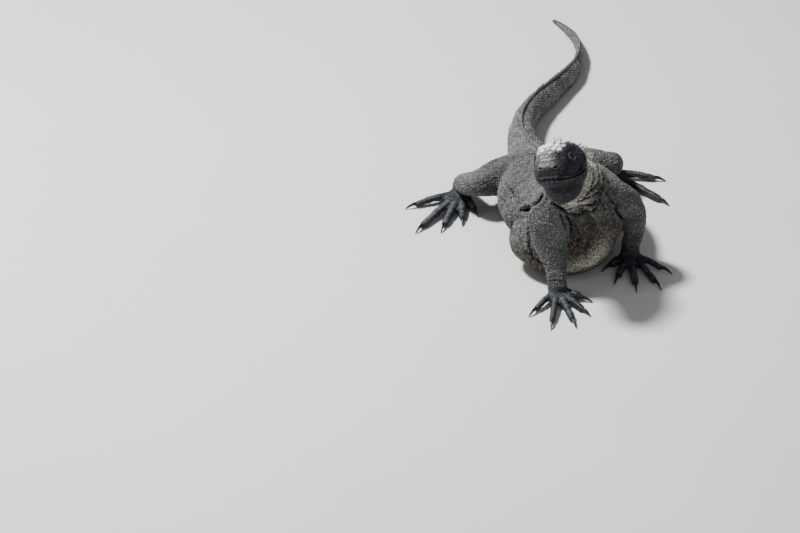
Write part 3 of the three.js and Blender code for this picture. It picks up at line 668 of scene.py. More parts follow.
depth += on_ear * (0.6 * bump(from_ear - 1.3, 0.28) - 1.7 * ramp(-from_ear, -1.1, -0.7))
# Painted shade: where the hide lies below its smoothed neighbours, and along the painted crease lines, the
# crease mark darkens the colour. The same mark also leaves the deepest creases bare of scales.
level = relaxed(depth[:, None], edges, 0.6, 14)[:, 0]
crease = np.maximum(np.clip((level - depth - 0.25) / 1.1, 0, 1), painted_crease_shade)
points = points + depth[:, None] * normals

# Lids: the hide round each eye is drawn onto a thin shell over the ball, and goes in at its opening.
LID_THICK, LID_FOLD, BEHIND_LID = 0.75, 0.3, 1.6
mirrored = to_head(points) * flip
away = mirrored - EYE_CENTRE
eye_back = unit(np.cross(UP, EYE_AIM))
eye_up = np.cross(EYE_AIM, eye_back)
across, rise, out = away @ eye_back, away @ eye_up, away @ EYE_AIM
opening = np.hypot(across / LID_OPENING[0], (rise - 0.06 * across) / LID_OPENING[1])
facing = ramp(out, -1.0, 2.0) * within_head
lid_radius = EYE_RADIUS + LID_THICK + LID_FOLD * np.cos(opening * 7.5) * ramp(opening, 1.2, 1.5)
length = np.maximum(np.linalg.norm(away, axis=1), 1e-6)
on_lid = away * (lid_radius / length)[:, None]
inside = away * ((EYE_RADIUS - BEHIND_LID) / length)[:, None]
lid_share = facing * ramp(-opening, -2.5, -1.75)
target = mirrored + lid_share[:, None] * (EYE_CENTRE + on_lid - mirrored)
gone_in = facing * ramp(-opening, -1.06, -0.94)
target = target + gone_in[:, None] * (EYE_CENTRE + inside - target)
mirrored = np.where((opening < 2.6)[:, None] & (facing > 0)[:, None], target, mirrored)
points = from_head(mirrored * flip)
SKIN_LOWEST, COAT_LOWEST = 0.05, 0.02
points[:, 2] = np.maximum(points[:, 2], SKIN_LOWEST)
set_points(fine, points)
normals = normals_of(fine)
fine.shade_smooth()

eye_low, eye_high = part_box("eye_left")
SHIFT = np.array((eye_low + eye_high) / 2) / MM - from_head(EYE_CENTRE)


def to_frame(points):
    """From the sculptor's millimetres to the metres of the model's frame."""
    return (points + SHIFT) * MM


# Markings, worked out at any point of the hide: salt crust on the crown, a black face that also holds
# painted shade on the head's undersides, its left side and under the jaw, warm belly, blue-black paws and
# painted crease shade.
MARKS = ("salt", "dark_face_and_shade", "belly", "tan", "paw", "crease")


def markings(points, normals, part, u, angle, crease=0.0):
    local, facing = to_head(points), normals @ head_turn
    head_near = ramp(-np.linalg.norm(local - [0, -4, 0], axis=1), -46, -36)
    ragged = noise(points, 9, 11)
    crown = ramp(facing[:, 2], 0.0, 0.4) * ramp(local[:, 1], -22, -15) * ramp(local[:, 2], 6, 13)
    # The salt stops short of the head's left side, which is left dark: partly bare hide, partly painted
    # shade.
    crown = crown * ramp(-local[:, 0] + 2.5 * ragged - 0.15 * np.minimum(local[:, 1], 0), -13, -8)
    snout = 0.45 * ramp(facing[:, 2], 0.2, 0.7) * ramp(-local[:, 1], 12, 18)
    snout = snout * ramp(-local[:, 0] + 3 * ragged, -8, -1)
    from_eye = np.linalg.norm(np.abs(local * [1, 0, 0]) + local * [0, 1, 1] - EYE_CENTRE, axis=1)
    salt = head_near * np.maximum(crown, snout) * (0.85 + 0.4 * ragged) * ramp(from_eye, 7, 9)
    # The dark face mark is partly the face's own black and partly painted shade: every part of the head that
    # does not face up, the whole left side of the head and the skin under the jaw are blackened as the shaded
    # parts.
    under_jaw = np.linalg.norm((local - COLLAR_CENTRE) / COLLAR_SIZE, axis=1)
    under_jaw_shadow = ramp(-under_jaw, -1.1, -0.98) * ramp(-local[:, 2], -2, 6)
    face = np.maximum(ramp(-facing[:, 2], -0.75, -0.2), ramp(local[:, 0], 6, 10))
    face = np.maximum(face, ramp(-from_eye, -12, -9)) * head_near * ramp(-local[:, 1], -26, -14)
    dark_face_and_shade = np.maximum(face, under_jaw_shadow)
    front = ramp(-normals[:, 1], 0.05, 0.6) * ramp(-points[:, 2], -108, -84) * ramp(-points[:, 1], -78, -58)
    front = front * ramp(points[:, 0], -60, -30)
    under = ramp(-normals[:, 2], 0.0, 0.5) * ramp(-points[:, 2], -75, -50)
    trunk = (part == BODY_PART) & (u < 12)
    belly = np.maximum(0.9 * front, under) + 0.5 * noise(points, 18, 12) + 0.25 * noise(points, 7, 13)
    flank = bump(distance_to_line(points, FLANK), 10) + 0.4 * noise(points, 9, 14)
    belly = trunk * np.clip(np.maximum(belly - 0.15, 0.6 * flank), 0, 0.9)
    rim = trunk * bump(distance_to_line(points, BELLY_RIM), 13) * ramp(-points[:, 2], -70, -26)
    round_throat = (under_jaw - COLLAR_FIRST) / COLLAR_SPACING - 1.6 * ramp(local[:, 2], -36, -20)
    throat = ((part == BODY_PART) & (u < 3.6)) * ramp(-round_throat, -4.2, -2.6) * ramp(-local[:, 2], -16, -2)
    ragged_tan = 0.25 * noise(points, 8, 15) * np.maximum(rim, throat)
    tan = np.clip(np.maximum(1.05 * rim, throat) + ragged_tan, 0, 1) * (1 - under_jaw_shadow)
    paw = np.where(part >= DIGIT_PART, 1.0, 0.0)
    limb = (part >= LIMB_PART) & (part < DIGIT_PART)
    paw = np.where(limb, ramp(-points[:, 2], -30, -10), paw)
    return np.clip(np.stack([salt, dark_face_and_shade, belly, tan, paw, np.zeros(len(points)) + crease], 1), 0, 1)


def write_values(mesh, name, values):
    layer = mesh.attributes.new(name, "FLOAT", "POINT")
    layer.data.foreach_set("value", np.ascontiguousarray(values, np.float32))


def write_marks(mesh, values, tone, rise):
    for name, column in zip((*MARKS, "tone", "rise"), (*values.T, tone, rise)):
        write_values(mesh, name, column)


HIDE_TONE = 0.25
marks = markings(points, normals, part, along_u, round_angle, crease)
marks = np.concatenate([relaxed(marks[:, :5], edges, 0.5, 6), marks[:, 5:]], 1)
write_marks(fine, marks, np.full(len(points), HIDE_TONE), np.zeros(len(points)))


# The colours of hide and scales alike. Groups are built once and used by every material.
def link(tree, start, end):
    tree.links.new(start, end)


def socket(tree, name, way, kind, default=None):
    made = tree.interface.new_socket(name=name, in_out=way, socket_type=kind)
    if default is not None:
        made.default_value = default
    return made


def mixed(tree, amount, a, b, kind="MIX"):
    """A Mix node for colours. Each of a and b is a socket or a colour."""
    node = tree.nodes.new("ShaderNodeMix")
    node.data_type = "RGBA"
    node.blend_type = kind
    for slot, value in ((0, amount), (6, a), (7, b)):
        if isinstance(value, bpy.types.NodeSocket):
            link(tree, value, node.inputs[slot])
        elif slot == 0:
            node.inputs[0].default_value = value
        else:
            node.inputs[slot].default_value = (*value, 1)
    return node.outputs[2]


def sum_of(tree, kind, a, b=None, c=None):
    node = tree.nodes.new("ShaderNodeMath")
    node.operation = kind
    for slot, value in enumerate((a, b, c)):
        if value is None:
            continue
        if isinstance(value, bpy.types.NodeSocket):
            link(tree, value, node.inputs[slot])
        else:
            node.inputs[slot].default_value = value
    return node.outputs[0]


def mapped(tree, value, low, high, new_low=0.0, new_high=1.0):
    node = tree.nodes.new("ShaderNodeMapRange")
    node.interpolation_type = "SMOOTHSTEP"
    link(tree, value, node.inputs[0])
    for slot, number in enumerate((low, high, new_low, new_high), 1):
        node.inputs[slot].default_value = number
    return node.outputs[0]


def pattern(tree, kind, scale, **settings):
    node = tree.nodes.new(kind)
    node.inputs["Scale"].default_value = scale
    for name, value in settings.items():
        if name in node.inputs:
            node.inputs[name].default_value = value
        else:
            setattr(node, name, value)
    place = tree.nodes.new("ShaderNodeTexCoord")
    link(tree, place.outputs["Object"], node.inputs["Vector"])
    return node


hide = bpy.data.node_groups.new("hide_colours", "ShaderNodeTree")
for name in ("Salt", "Dark_face_and_shade", "Belly", "Tan", "Paw", "Crease", "Tone", "Rise"):
    socket(hide, name, "INPUT", "NodeSocketFloat", 0.0)
socket(hide, "Color", "OUTPUT", "NodeSocketColor")
socket(hide, "Roughness", "OUTPUT", "NodeSocketFloat")
socket(hide, "Height", "OUTPUT", "NodeSocketFloat")
given = hide.nodes.new("NodeGroupInput")
result = hide.nodes.new("NodeGroupOutput")
SLATE, SLATE_PALE, SPECK = (0.058, 0.060, 0.063), (0.200, 0.203, 0.200), (0.38, 0.38, 0.365)
BLACK, PAW_BLUE, PAW_PALE = (0.017, 0.018, 0.022), (0.030, 0.035, 0.043), (0.100, 0.108, 0.120)
OCHRE, BROWN, BELLY_DARK = (0.235, 0.175, 0.115), (0.120, 0.085, 0.058), (0.035, 0.030, 0.026)
TAN, TAN_PALE = (0.30, 0.28, 0.235), (0.64, 0.61, 0.54)
SALT, SALT_GREY, RECESS = (0.84, 0.84, 0.82), (0.36, 0.37, 0.38), (0.115, 0.12, 0.13)
clouds = pattern(hide, "ShaderNodeTexNoise", 34, Detail=5, Roughness=0.6).outputs[0]
blots = pattern(hide, "ShaderNodeTexNoise", 150, Detail=5, Roughness=0.65).outputs[0]
grain = pattern(hide, "ShaderNodeTexNoise", 620, Detail=4, Roughness=0.65).outputs[0]


def weighed(tree, *terms):
    """The sum of sockets, each times its weight."""
    total = None
    for value, weight in terms:
        scaled = sum_of(tree, "MULTIPLY", value, weight)
        total = scaled if total is None else sum_of(tree, "ADD", total, scaled)
    return total


# Salt and pepper: single scales and grains of them go from near black to pale grey.
pepper = weighed(hide, (given.outputs["Tone"], 0.45), (grain, 0.6), (clouds, 0.6), (blots, 0.25))
colour = mixed(hide, mapped(hide, pepper, 0.55, 1.18), SLATE, SLATE_PALE)
colour = mixed(hide, mapped(hide, pepper, 1.05, 1.45, 0.0, 0.7), colour, SPECK)
warm_place = weighed(hide, (given.outputs["Tone"], 0.5), (grain, 0.8), (blots, 0.35))
warm = mixed(hide, mapped(hide, warm_place, 0.62, 0.86), BELLY_DARK, BROWN)
warm = mixed(hide, mapped(hide, warm_place, 0.86, 1.16), warm, OCHRE)
colour = mixed(hide, given.outputs["Belly"], colour, warm)
light_tan = mixed(hide, mapped(hide, warm_place, 0.5, 0.95), TAN, TAN_PALE)
colour = mixed(hide, given.outputs["Tan"], colour, light_tan)
paw_place = weighed(hide, (given.outputs["Tone"], 0.5), (blots, 0.9))
paw_colour = mixed(hide, mapped(hide, paw_place, 0.45, 1.05), PAW_BLUE, PAW_PALE)
colour = mixed(hide, given.outputs["Paw"], colour, paw_colour)
# The face's own near-black, which also serves as the painted shade of the head's undersides, its left side
# and the skin under the jaw.
face = mixed(hide, mapped(hide, pepper, 0.80, 1.25), BLACK, PAW_PALE)
colour = mixed(hide, given.outputs["Dark_face_and_shade"], colour, face)
crusted = weighed(hide, (given.outputs["Rise"], 1.0), (grain, 0.5))
crust = mixed(hide, mapped(hide, crusted, 0.42, 1.0), RECESS, SALT)
crust = mixed(hide, mapped(hide, blots, 0.62, 0.42), SALT_GREY, crust)
salty = mapped(hide, weighed(hide, (given.outputs["Salt"], 1.0), (blots, 0.5)), 0.5, 0.85)
colour = mixed(hide, salty, colour, crust)
# Painted shade: the hide between the scales is darkened to two thirds and each scale lightens from its foot
# to its tip; the crease mark darkens the colour further, down to about a fifth.
shade = mapped(hide, given.outputs["Rise"], 0.0, 0.5, 0.66, 1.0)
shade = sum_of(hide, "MULTIPLY", shade, mapped(hide, given.outputs["Crease"], 0.0, 0.7, 1.0, 0.22))
grey = hide.nodes.new("ShaderNodeCombineColor")
for slot in range(3):
    link(hide, shade, grey.inputs[slot])
link(hide, mixed(hide, 1.0, colour, grey.outputs[0], "MULTIPLY"), result.inputs["Color"])
rough = mapped(hide, grain, 0.3, 0.7, 0.62, 0.82)
rough = sum_of(hide, "MULTIPLY_ADD", given.outputs["Paw"], -0.24, rough)
rough = sum_of(hide, "MULTIPLY_ADD", given.outputs["Dark_face_and_shade"], -0.18, rough)
rough = sum_of(hide, "MULTIPLY_ADD", salty, 0.15, rough)
link(hide, rough, result.inputs["Roughness"])
cells = pattern(hide, "ShaderNodeTexVoronoi", 620, feature="DISTANCE_TO_EDGE").outputs["Distance"]
height = weighed(hide, (mapped(hide, cells, 0.0, 0.35), 0.7), (grain, 0.6))
link(hide, height, result.inputs["Height"])


def new_finish(name):
    made = bpy.data.materials.new(name)
    made.use_nodes = True
    return made, made.node_tree, made.node_tree.nodes["Principled BSDF"]


def stored(tree, name):
    """What a mesh stores at its points under a name."""
    node = tree.nodes.new("ShaderNodeAttribute")
    node.attribute_name = name
    return node.outputs["Fac"]


def add_relief(tree, surface, height, strength, distance):
    relief = tree.nodes.new("ShaderNodeBump")
    relief.inputs["Strength"].default_value = strength
    relief.inputs["Distance"].default_value = distance * MM
    link(tree, height, relief.inputs["Height"])
    link(tree, relief.outputs[0], surface.inputs["Normal"])


def hide_material(name, bump_height, coat):
    made, tree, surface = new_finish(name)
    group = tree.nodes.new("ShaderNodeGroup")
    group.node_tree = hide
    for attribute in (*MARKS, "tone", "rise"):
        link(tree, stored(tree, attribute), group.inputs[attribute.capitalize()])
    link(tree, group.outputs["Color"], surface.inputs["Base Color"])
    link(tree, group.outputs["Roughness"], surface.inputs["Roughness"])
    add_relief(tree, surface, group.outputs["Height"], 0.6, bump_height)
    surface.inputs["Specular IOR Level"].default_value = 0.4
    surface.inputs["Coat Weight"].default_value = coat
    surface.inputs["Coat Roughness"].default_value = 0.45
    return made


fine.materials.append(hide_material("hide", 0.5, 0.05))
scale_finish = hide_material("scales", 0.12, 0.08)
set_points(fine, to_frame(points))
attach(skin, "root")
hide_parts(*[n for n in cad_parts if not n.startswith("eye_")])

# Scales. Small horny grains stand all over the hide, each a low cone with a sunk rim: fine on the
# face and paws, coarser along the back, in pale and dark, and flat wide ones under the belly.
random = np.random.default_rng(17)
bpy.context.view_layer.update()


def skin_samples(count):
    """Random places on the hide, evenly by area."""
    fine.calc_loop_triangles()
    corners = read(fine.loop_triangles, "vertices", 3, np.int32)
    a, b, c = (points[corners[:, k]] for k in range(3))
    area = np.linalg.norm(np.cross(b - a, c - a), axis=1) / 2
    picked = random.choice(len(corners), count, p=area / area.sum())
    u, v = random.random(count), random.random(count)
    flip = u + v > 1
    u[flip], v[flip] = 1 - u[flip], 1 - v[flip]
    share = np.stack([1 - u - v, u, v], 1)
    at = (points[corners[picked]] * share[..., None]).sum(1)
    out = unit((normals[corners[picked]] * share[..., None]).sum(1))
    return at, out, corners[picked][np.arange(count), share.argmax(1)]


def thinned(at, spacing):
    """Of the places, in their own order, those no nearer to a kept one than their spacing."""
    size = float(spacing.max())
    cells = {}
    kept = []
    keys = np.floor(at / size).astype(int)
    around = [(i, j, k) for i in (-1, 0, 1) for j in (-1, 0, 1) for k in (-1, 0, 1)]
    at_list, key_list, gap_list = at.tolist(), keys.tolist(), (spacing**2).tolist()
    for i, ((x, y, z), (a, b, c), gap) in enumerate(zip(at_list, key_list, gap_list)):
        clear = True
        for da, db, dc in around:
            for p in cells.get((a + da, b + db, c + dc), ()):
                if (p[0] - x) ** 2 + (p[1] - y) ** 2 + (p[2] - z) ** 2 < gap:
                    clear = False
                    break
            if not clear:
                break
        if clear:
            cells.setdefault((a, b, c), []).append((x, y, z))
            kept.append(i)
    return np.array(kept)


def grains(at, out, lie, wide, long, high, sides, sunk, lean, jitter, profile):
    """Many low horny cones as one mesh. profile: (share of the width, share of the height) rings."""
    count = len(at)
    lie = unit(lie - (lie * out).sum(1)[:, None] * out)
    across = np.cross(out, lie)
    angle = 2 * np.pi * (np.arange(sides) + 0.5) / sides
    rings = []
    wobble = 1 + jitter * (random.random((count, sides)) - 0.5)
    for spread, rise in profile:
        level = -sunk + (high + sunk) * rise
        back = lean * high * max(rise, 0)
        ring = (
            at[:, None]
            + across[:, None] * (spread * wide[:, None] * np.cos(angle) * wobble)[..., None]
            + lie[:, None] * ((spread * long[:, None] * np.sin(angle) * wobble) + back[:, None])[..., None]
            + out[:, None] * level[:, None, None]
        )
        rings.append(ring)
    tip = at + out * high[:, None] + lie * (lean * high)[:, None]
    body = np.concatenate([*rings, tip[:, None]], 1)
    per = len(profile) * sides + 1
    faces = []
    for r in range(len(profile) - 1):
        for j in range(sides):
            a, b = r * sides + j, r * sides + (j + 1) % sides
            faces += [[a, b, b + sides], [a, b + sides, a + sides]]
    last = (len(profile) - 1) * sides
    faces += [[last + j, last + (j + 1) % sides, per - 1] for j in range(sides)]
    faces = np.array(faces)
    corners = (faces[None] + (np.arange(count) * per)[:, None, None]).reshape(-1, 3)
    rise = np.concatenate([np.full(sides, max(0.0, r)) for _, r in profile] + [[1.0]])
    flat = np.concatenate(
        [np.stack([s * np.cos(angle), s * np.sin(angle)], 1) for s, _ in profile] + [np.zeros((1, 2))]
    )
    return body.reshape(-1, 3), corners, np.tile(rise, count), np.tile(flat, (count, 1)), per


def atlas(part, u, angle, local):
    """A place on a flat unwrap of the hide: a strip of the body, one of the head, then the limbs."""
    turn = (angle / (2 * np.pi)) % 1
    x = np.where(part == BODY_PART, 0.02 + 0.56 * u / BODY_END, 0.0)
    y = np.where(part == BODY_PART, 0.02 + 0.96 * turn, 0.0)
    head_turn_round = (np.arctan2(local[:, 2], local[:, 0]) / (2 * np.pi)) % 1
    x = np.where(part == HEAD_PART, 0.61 + 0.15 * (local[:, 1] + 42) / 84, x)
    y = np.where(part == HEAD_PART, 0.02 + 0.96 * head_turn_round, y)
    limb = np.where(part >= DIGIT_PART, (part - DIGIT_PART) // PER_PAW, part - LIMB_PART)
    onward = np.where(part >= DIGIT_PART, 0.5 + ((part - DIGIT_PART) % PER_PAW) / 13, 0.08 * u)
    onward = onward + np.where(part >= DIGIT_PART, u / 110, 0)
    x = np.where(part >= LIMB_PART, 0.79 + 0.19 * onward, x)
    y = np.where(part >= LIMB_PART, 0.02 + 0.24 * limb + 0.22 * turn, y)
    return np.clip(np.stack([x, y], 1), 0.01, 0.99)


PATCH = 0.003  # the size of each scale's own patch on that unwrap


def coat_piece(name, made, root_place, marks, tone):
    """One mesh of scales with its markings, its bake map and its place in the model."""
    body, corners, rise, flat, per = made
    body[:, 2] = np.maximum(body[:, 2], COAT_LOWEST)
    mesh = bpy.data.meshes.new(name)
    mesh.vertices.add(len(body))
    mesh.vertices.foreach_set("co", to_frame(body).astype(np.float32).ravel())
    mesh.loops.add(corners.size)
    mesh.loops.foreach_set("vertex_index", corners.astype(np.int32).ravel())
    mesh.polygons.add(len(corners))
    mesh.polygons.foreach_set("loop_start", np.arange(0, corners.size, 3, dtype=np.int32))
    mesh.update(calc_edges=True)
    mesh.validate()
    uv = np.repeat(root_place, per, 0) + 0.5 * PATCH * flat
    layer = mesh.uv_layers.new(name="OFBake")
    layer.data.foreach_set("uv", uv[corners.ravel()].astype(np.float32).ravel())
    write_marks(mesh, np.repeat(marks, per, 0), np.repeat(tone, per), rise)
    mesh.shade_smooth()
    mesh.materials.append(scale_finish)
    piece = placed(name, mesh)
    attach(piece, "root")


def scale_width(out, part, u, angle):
    """The size of the scales at a place."""
    wide = 2.2 + 0.5 * (part == BODY_PART) * ramp(np.sin(angle), 0.75, 1.0)
    wide = np.where(out[:, 2] < -0.45, 3.4, wide)
    wide = np.where((part == HEAD_PART) | (part >= DIGIT_PART), 1.75, wide)
    limb = (part >= LIMB_PART) & (part < DIGIT_PART)
    wide = np.where(limb, 2.05, wide)
    return np.where((part == BODY_PART) & (u < 3), 1.9, wide)


WHORLS_FROM = 12.2  # on the tail the scales stand in rings
CANDIDATES, SPACING, BARE_CREASE = 290000, 0.85, 0.42
at, out, vertex = skin_samples(CANDIDATES)
where = nearest_line(at)
scale_part = line_part[where]
scale_u, scale_angle = place_on_body(at, where)
local = to_head(at)
wide = scale_width(out, scale_part, scale_u, scale_angle)
mirrored_at = local.copy()
mirrored_at[:, 0] = np.abs(local[:, 0])
from_eye = np.linalg.norm(mirrored_at - EYE_CENTRE - 4 * EYE_AIM, axis=1)
head_zone = scale_part == HEAD_PART
bare = (from_eye < 5.2) | (at[:, 2] < 0.9)
bare |= (scale_part == BODY_PART) & (scale_u > WHORLS_FROM)
bare |= crease[vertex] > BARE_CREASE
on_toe = (scale_part >= DIGIT_PART) & ((scale_part - DIGIT_PART) % PER_PAW > 0)
bare |= on_toe & (np.sin(scale_angle) > 0.25)
from_ear = np.linalg.norm((mirrored_at[:, 1:] - EAR) / EAR_SIZE, axis=1)
bare |= head_zone & (from_ear < 1) & (mirrored_at[:, 0] > EAR_OUT)
bare |= head_zone & (np.linalg.norm(mirrored_at - NOSTRIL, axis=1) < 2.6)
bare |= head_zone & (distance_to_line(mirrored_at[:, 1:], MOUTH_LINE) < 3.6)
crown_half = np.interp(local[:, 1], [-36, -33, -22, -6, 10, 23], [0, 5, 13, 16.5, 20, 20])
bare |= head_zone & (np.abs(local[:, 0]) < crown_half) & (local[:, 2] > 8) & (local[:, 1] < 24)
usable = np.flatnonzero(~bare)
kept = usable[thinned(at[usable], SPACING * wide[usable])]
at, out, where, wide, vertex = (values[kept] for values in (at, out, where, wide, vertex))
scale_part, scale_u, scale_angle = scale_part[kept], scale_u[kept], scale_angle[kept]
lie = line_along[where]
# The scales take the hide's painted crease shade, a little weaker.
scale_marks = markings(at, out, scale_part, scale_u, scale_angle, 0.8 * crease[vertex])
tone = np.clip(random.random(len(at)) ** 1.3 + 0.12 * noise(at, 30, 21), 0, 1)
places = atlas(scale_part, scale_u, scale_angle, local[kept])
size = wide * (0.9 + 0.25 * random.random(len(at)))
high = np.where(scale_part == HEAD_PART, 0.32, 0.42) * size * np.where(out[:, 2] < -0.45, 0.5, 1.0)
high = high * np.where(scale_part >= DIGIT_PART, 0.6, 1.0)
GRAIN_SIDES, GRAIN_SUNK, GRAIN_LEAN, GRAIN_JITTER = 5, 0.35, 0.35, 0.25
GRAIN = [(0.56, 0.0), (0.40, 0.62)]
MOST_IN_PIECE = 12500
order = np.argsort(places[:, 0], kind="stable")
for number, start in enumerate(range(0, len(order), MOST_IN_PIECE)):
    some = order[start : start + MOST_IN_PIECE]
    made = grains(
        at[some], out[some], lie[some], size[some], 1.1 * size[some], high[some],
        GRAIN_SIDES, GRAIN_SUNK, GRAIN_LEAN, GRAIN_JITTER, GRAIN,
    )
    coat_piece(f"scales_{number + 1}", made, places[some], scale_marks[some], tone[some])

# Tail whorls. Behind the hips the scales are keeled plates that stand in close rings round the
# tail, each ring a little over the next.


def on_hide(start, direction):
    """Where a line meets the hide, and the way the hide faces there."""
    hit, at, facing, index = skin.ray_cast(Vector(to_frame(start)), Vector(direction))
    return (np.array(at) / MM - SHIFT, np.array(facing)) if hit else (None, None)


def marked_piece(name, made, at, out, where):
    """A coat piece whose markings and tones come from where its parts stand."""
    u, angle = place_on_body(at, where)
    part = line_part[where]
    marks = markings(at, out, part, u, angle)
    coat_piece(name, made, atlas(part, u, angle, to_head(at)), marks, random.random(len(at)))


def coat_of(name, rows, *form):
    """Grains as one piece: for each a place, the way out, its width, length and height."""
    at, out, wide, long, high = (np.array(values) for values in zip(*rows))
    where = nearest_line(at)
    made = grains(at, out, line_along[where], wide, long, high, *form)
    marked_piece(name, made, at, out, where)


whorls = []
fine_u = np.linspace(WHORLS_FROM - 0.1, BODY_END - 0.06, 2000)
centre_line = row_at(BODY, fine_u)[:, :3]
travelled = np.concatenate([[0], np.cumsum(np.linalg.norm(np.diff(centre_line, axis=0), axis=1))])
run, ring_number = 0.0, 0
while run < travelled[-1]:
    u = float(np.interp(run, travelled, fine_u))
    at, along, side, up, size = (value[0] for value in stations(BODY, [u]))
    pitch = 2.1 + 1.3 * min(1.0, (size[1] + size[2]) / 34)
    around = 2 * math.pi * math.sqrt((size[0] ** 2 + ((size[1] + size[2]) / 2) ** 2) / 2)
    count = max(6, round(around / (0.92 * pitch)))
    for k in range(count):
        angle = 2 * math.pi * (k + 0.5 * (ring_number % 2)) / count
        outward = side * math.cos(angle) + up * math.sin(angle)
        hit, facing = on_hide(at + outward * (max(size) + 6), -outward)
        if hit is None or hit[2] < 0.9:
            continue
        grow = pitch * (0.92 + 0.16 * random.random())
        whorls.append((hit, facing, 0.47 * grow, 0.66 * grow, 0.26 * grow))
    run += pitch
    ring_number += 1
KEEL = [(1.0, 0.0), (0.62, 0.7)]
coat_of("tail_whorls", whorls, 6, 0.4, 0.9, 0.12, KEEL)

# Lip plates. A row of blunt square scales runs along each lip, from under the eye to the snout's
# tip, all of one size along the sides and a little smaller across the front.
SIDE_PLATE, FRONT_PLATE, PLATE_HIGH = 1.55, 1.45, 0.42
aimed = []  # where a line towards the lip starts, its direction and the plate's size
for above in (2.3, -2.4):
    for side in (-1, 1):
        for y in np.arange(-33.0, 3.5, 2.9):
            z = np.interp(y, MOUTH_LINE[:, 0], MOUTH_LINE[:, 1]) + above
            aimed.append((from_head([side * 60, y, z]), -side * head_turn[:, 0], SIDE_PLATE))
    for x in np.arange(-11.2, 11.3, 2.8):
        aimed.append((from_head([x, -80, -10 + above]), head_turn[:, 1], FRONT_PLATE))
plates = [(*on_hide(start, direction), size, size, PLATE_HIGH * size) for start, direction, size in aimed]
plates = [plate for plate in plates if plate[0] is not None]
PLATE = [(1.0, 0.0), (0.9, 0.7), (0.5, 0.97)]
coat_of("lip_plates", plates, 6, 0.5, 0.0, 0.15, PLATE)

# Toe scutes. Broad curved plates cover the top of each toe in one row, each with its free edge
# over the next one, towards the claw.
SCUTE_PITCH = 2.5
SCUTE_EDGE = -0.45  # how deep a plate's sides are sunk
SCUTE_ALONG = [(0.0, SCUTE_EDGE), (0.18, 0.22), (0.86, 0.5), (1.04, -0.25)]  # share of the length, rise
SCUTE_ANGLES = np.radians(np.linspace(18, 162, 9))
scute_points, scute_roots, scute_out = [], [], []
for number, rows, heading, length in digits:
    line_u_here = np.linspace(1.3, len(rows) - 1.02, 200)
    way = row_at(rows, line_u_here)[:, :3]
    travelled = np.concatenate([[0], np.cumsum(np.linalg.norm(np.diff(way, axis=0), axis=1))])
    count = int(travelled[-1] / SCUTE_PITCH)
    for k in range(count):
        patch = []
        for share, rise in SCUTE_ALONG:
            here = float(np.interp((k + share) * travelled[-1] / count, travelled, line_u_here))
            at, along, side, up, size = (value[0] for value in stations(rows, [here]))
            for angle in SCUTE_ANGLES:
                outward = side * math.cos(angle) + up * math.sin(angle)
                hit, facing = on_hide(at + outward * (size[0] + 1.6), -outward)
                level = rise if SCUTE_ANGLES[0] < angle < SCUTE_ANGLES[-1] else SCUTE_EDGE
                base = at + outward * (size[0] - 0.3) if hit is None else hit
                patch.append(base + outward * level)
        scute_points.append(np.array(patch))
        scute_roots.append(np.array(patch).mean(0))
        scute_out.append(up)
wide_count, long_count = len(SCUTE_ANGLES), len(SCUTE_ALONG)
per = wide_count * long_count
first = (np.arange(long_count - 1)[:, None] * wide_count + np.arange(wide_count - 1)).ravel()
onward, slanted = first + wide_count, first + wide_count + 1
quad = np.stack([first, onward, slanted, first, slanted, first + 1], 1)
corners = (quad.reshape(1, -1, 3) + (np.arange(len(scute_points)) * per)[:, None, None]).reshape(-1, 3)
rise = np.tile(np.repeat([0.0, 0.8, 1.0, 0.0], wide_count), len(scute_points))
onward, sideways = np.linspace(-1, 1, long_count), np.linspace(-1, 1, wide_count)
flat = np.stack([np.repeat(onward, wide_count), np.tile(sideways, long_count)], 1)
scute_roots, scute_out = np.array(scute_roots), np.array(scute_out)
made = (np.concatenate(scute_points), corners, rise, np.tile(flat, (len(scute_points), 1)), per)
marked_piece("toe_scutes", made, scute_roots, scute_out, nearest_line(scute_roots))

# Crown. Blunt horny cones crowd the top of the head, white with dried salt, dark between them;
# they shrink to flat scutes on the snout. Each is rooted in the hide.
bosses = []
BANDS = [  # along the head: half width, boss radius, boss height
    (-33.5, 5, 1.4, 0.8), (-30.4, 8, 1.8, 1.1), (-26.4, 10.5, 2.2, 1.5), (-21.6, 12.5, 2.8, 2.1),
    (-15.6, 13.5, 3.4, 2.8), (-8.6, 15.5, 3.8, 3.2), (-1.2, 17.5, 3.7, 3.1), (5.8, 19, 3.3, 2.7),
    (12, 20, 2.8, 2.1), (17.2, 20.5, 2.3, 1.6), (21.4, 20, 2.0, 1.1),
]
for band, (y, half, radius, height) in enumerate(BANDS):
    count = int(2 * half / (1.95 * radius))
    for i in range(count + band % 2):
        x = -half + 2 * half * (i + 0.5) / (count + band % 2)
        x, y_here = x + 0.6 * (random.random() - 0.5), y + 1.2 * (random.random() - 0.5)
        hit, facing = on_hide(from_head([x, y_here, 60]), -head_turn[:, 2])
        if hit is None:
            continue
        grow = 0.85 + 0.35 * random.random()
        tall = height * grow * (0.8 + 0.4 * random.random())
        bosses.append((hit, facing, radius * grow, 1.05 * radius * grow, tall))
BOSS = [(0.98, 0.0), (1.0, 0.32), (0.88, 0.68), (0.56, 0.92)]
coat_of("crown_bosses", bosses, 9, 0.8, 0.1, 0.3, BOSS)

# Crest. A comb of flat horn spines from the nape to near the tail's tip, long and ivory on the
# neck, short and darker behind. Each leans back and is rooted in the hide.
CREST_SIDES, CREST_RINGS = 8, 7


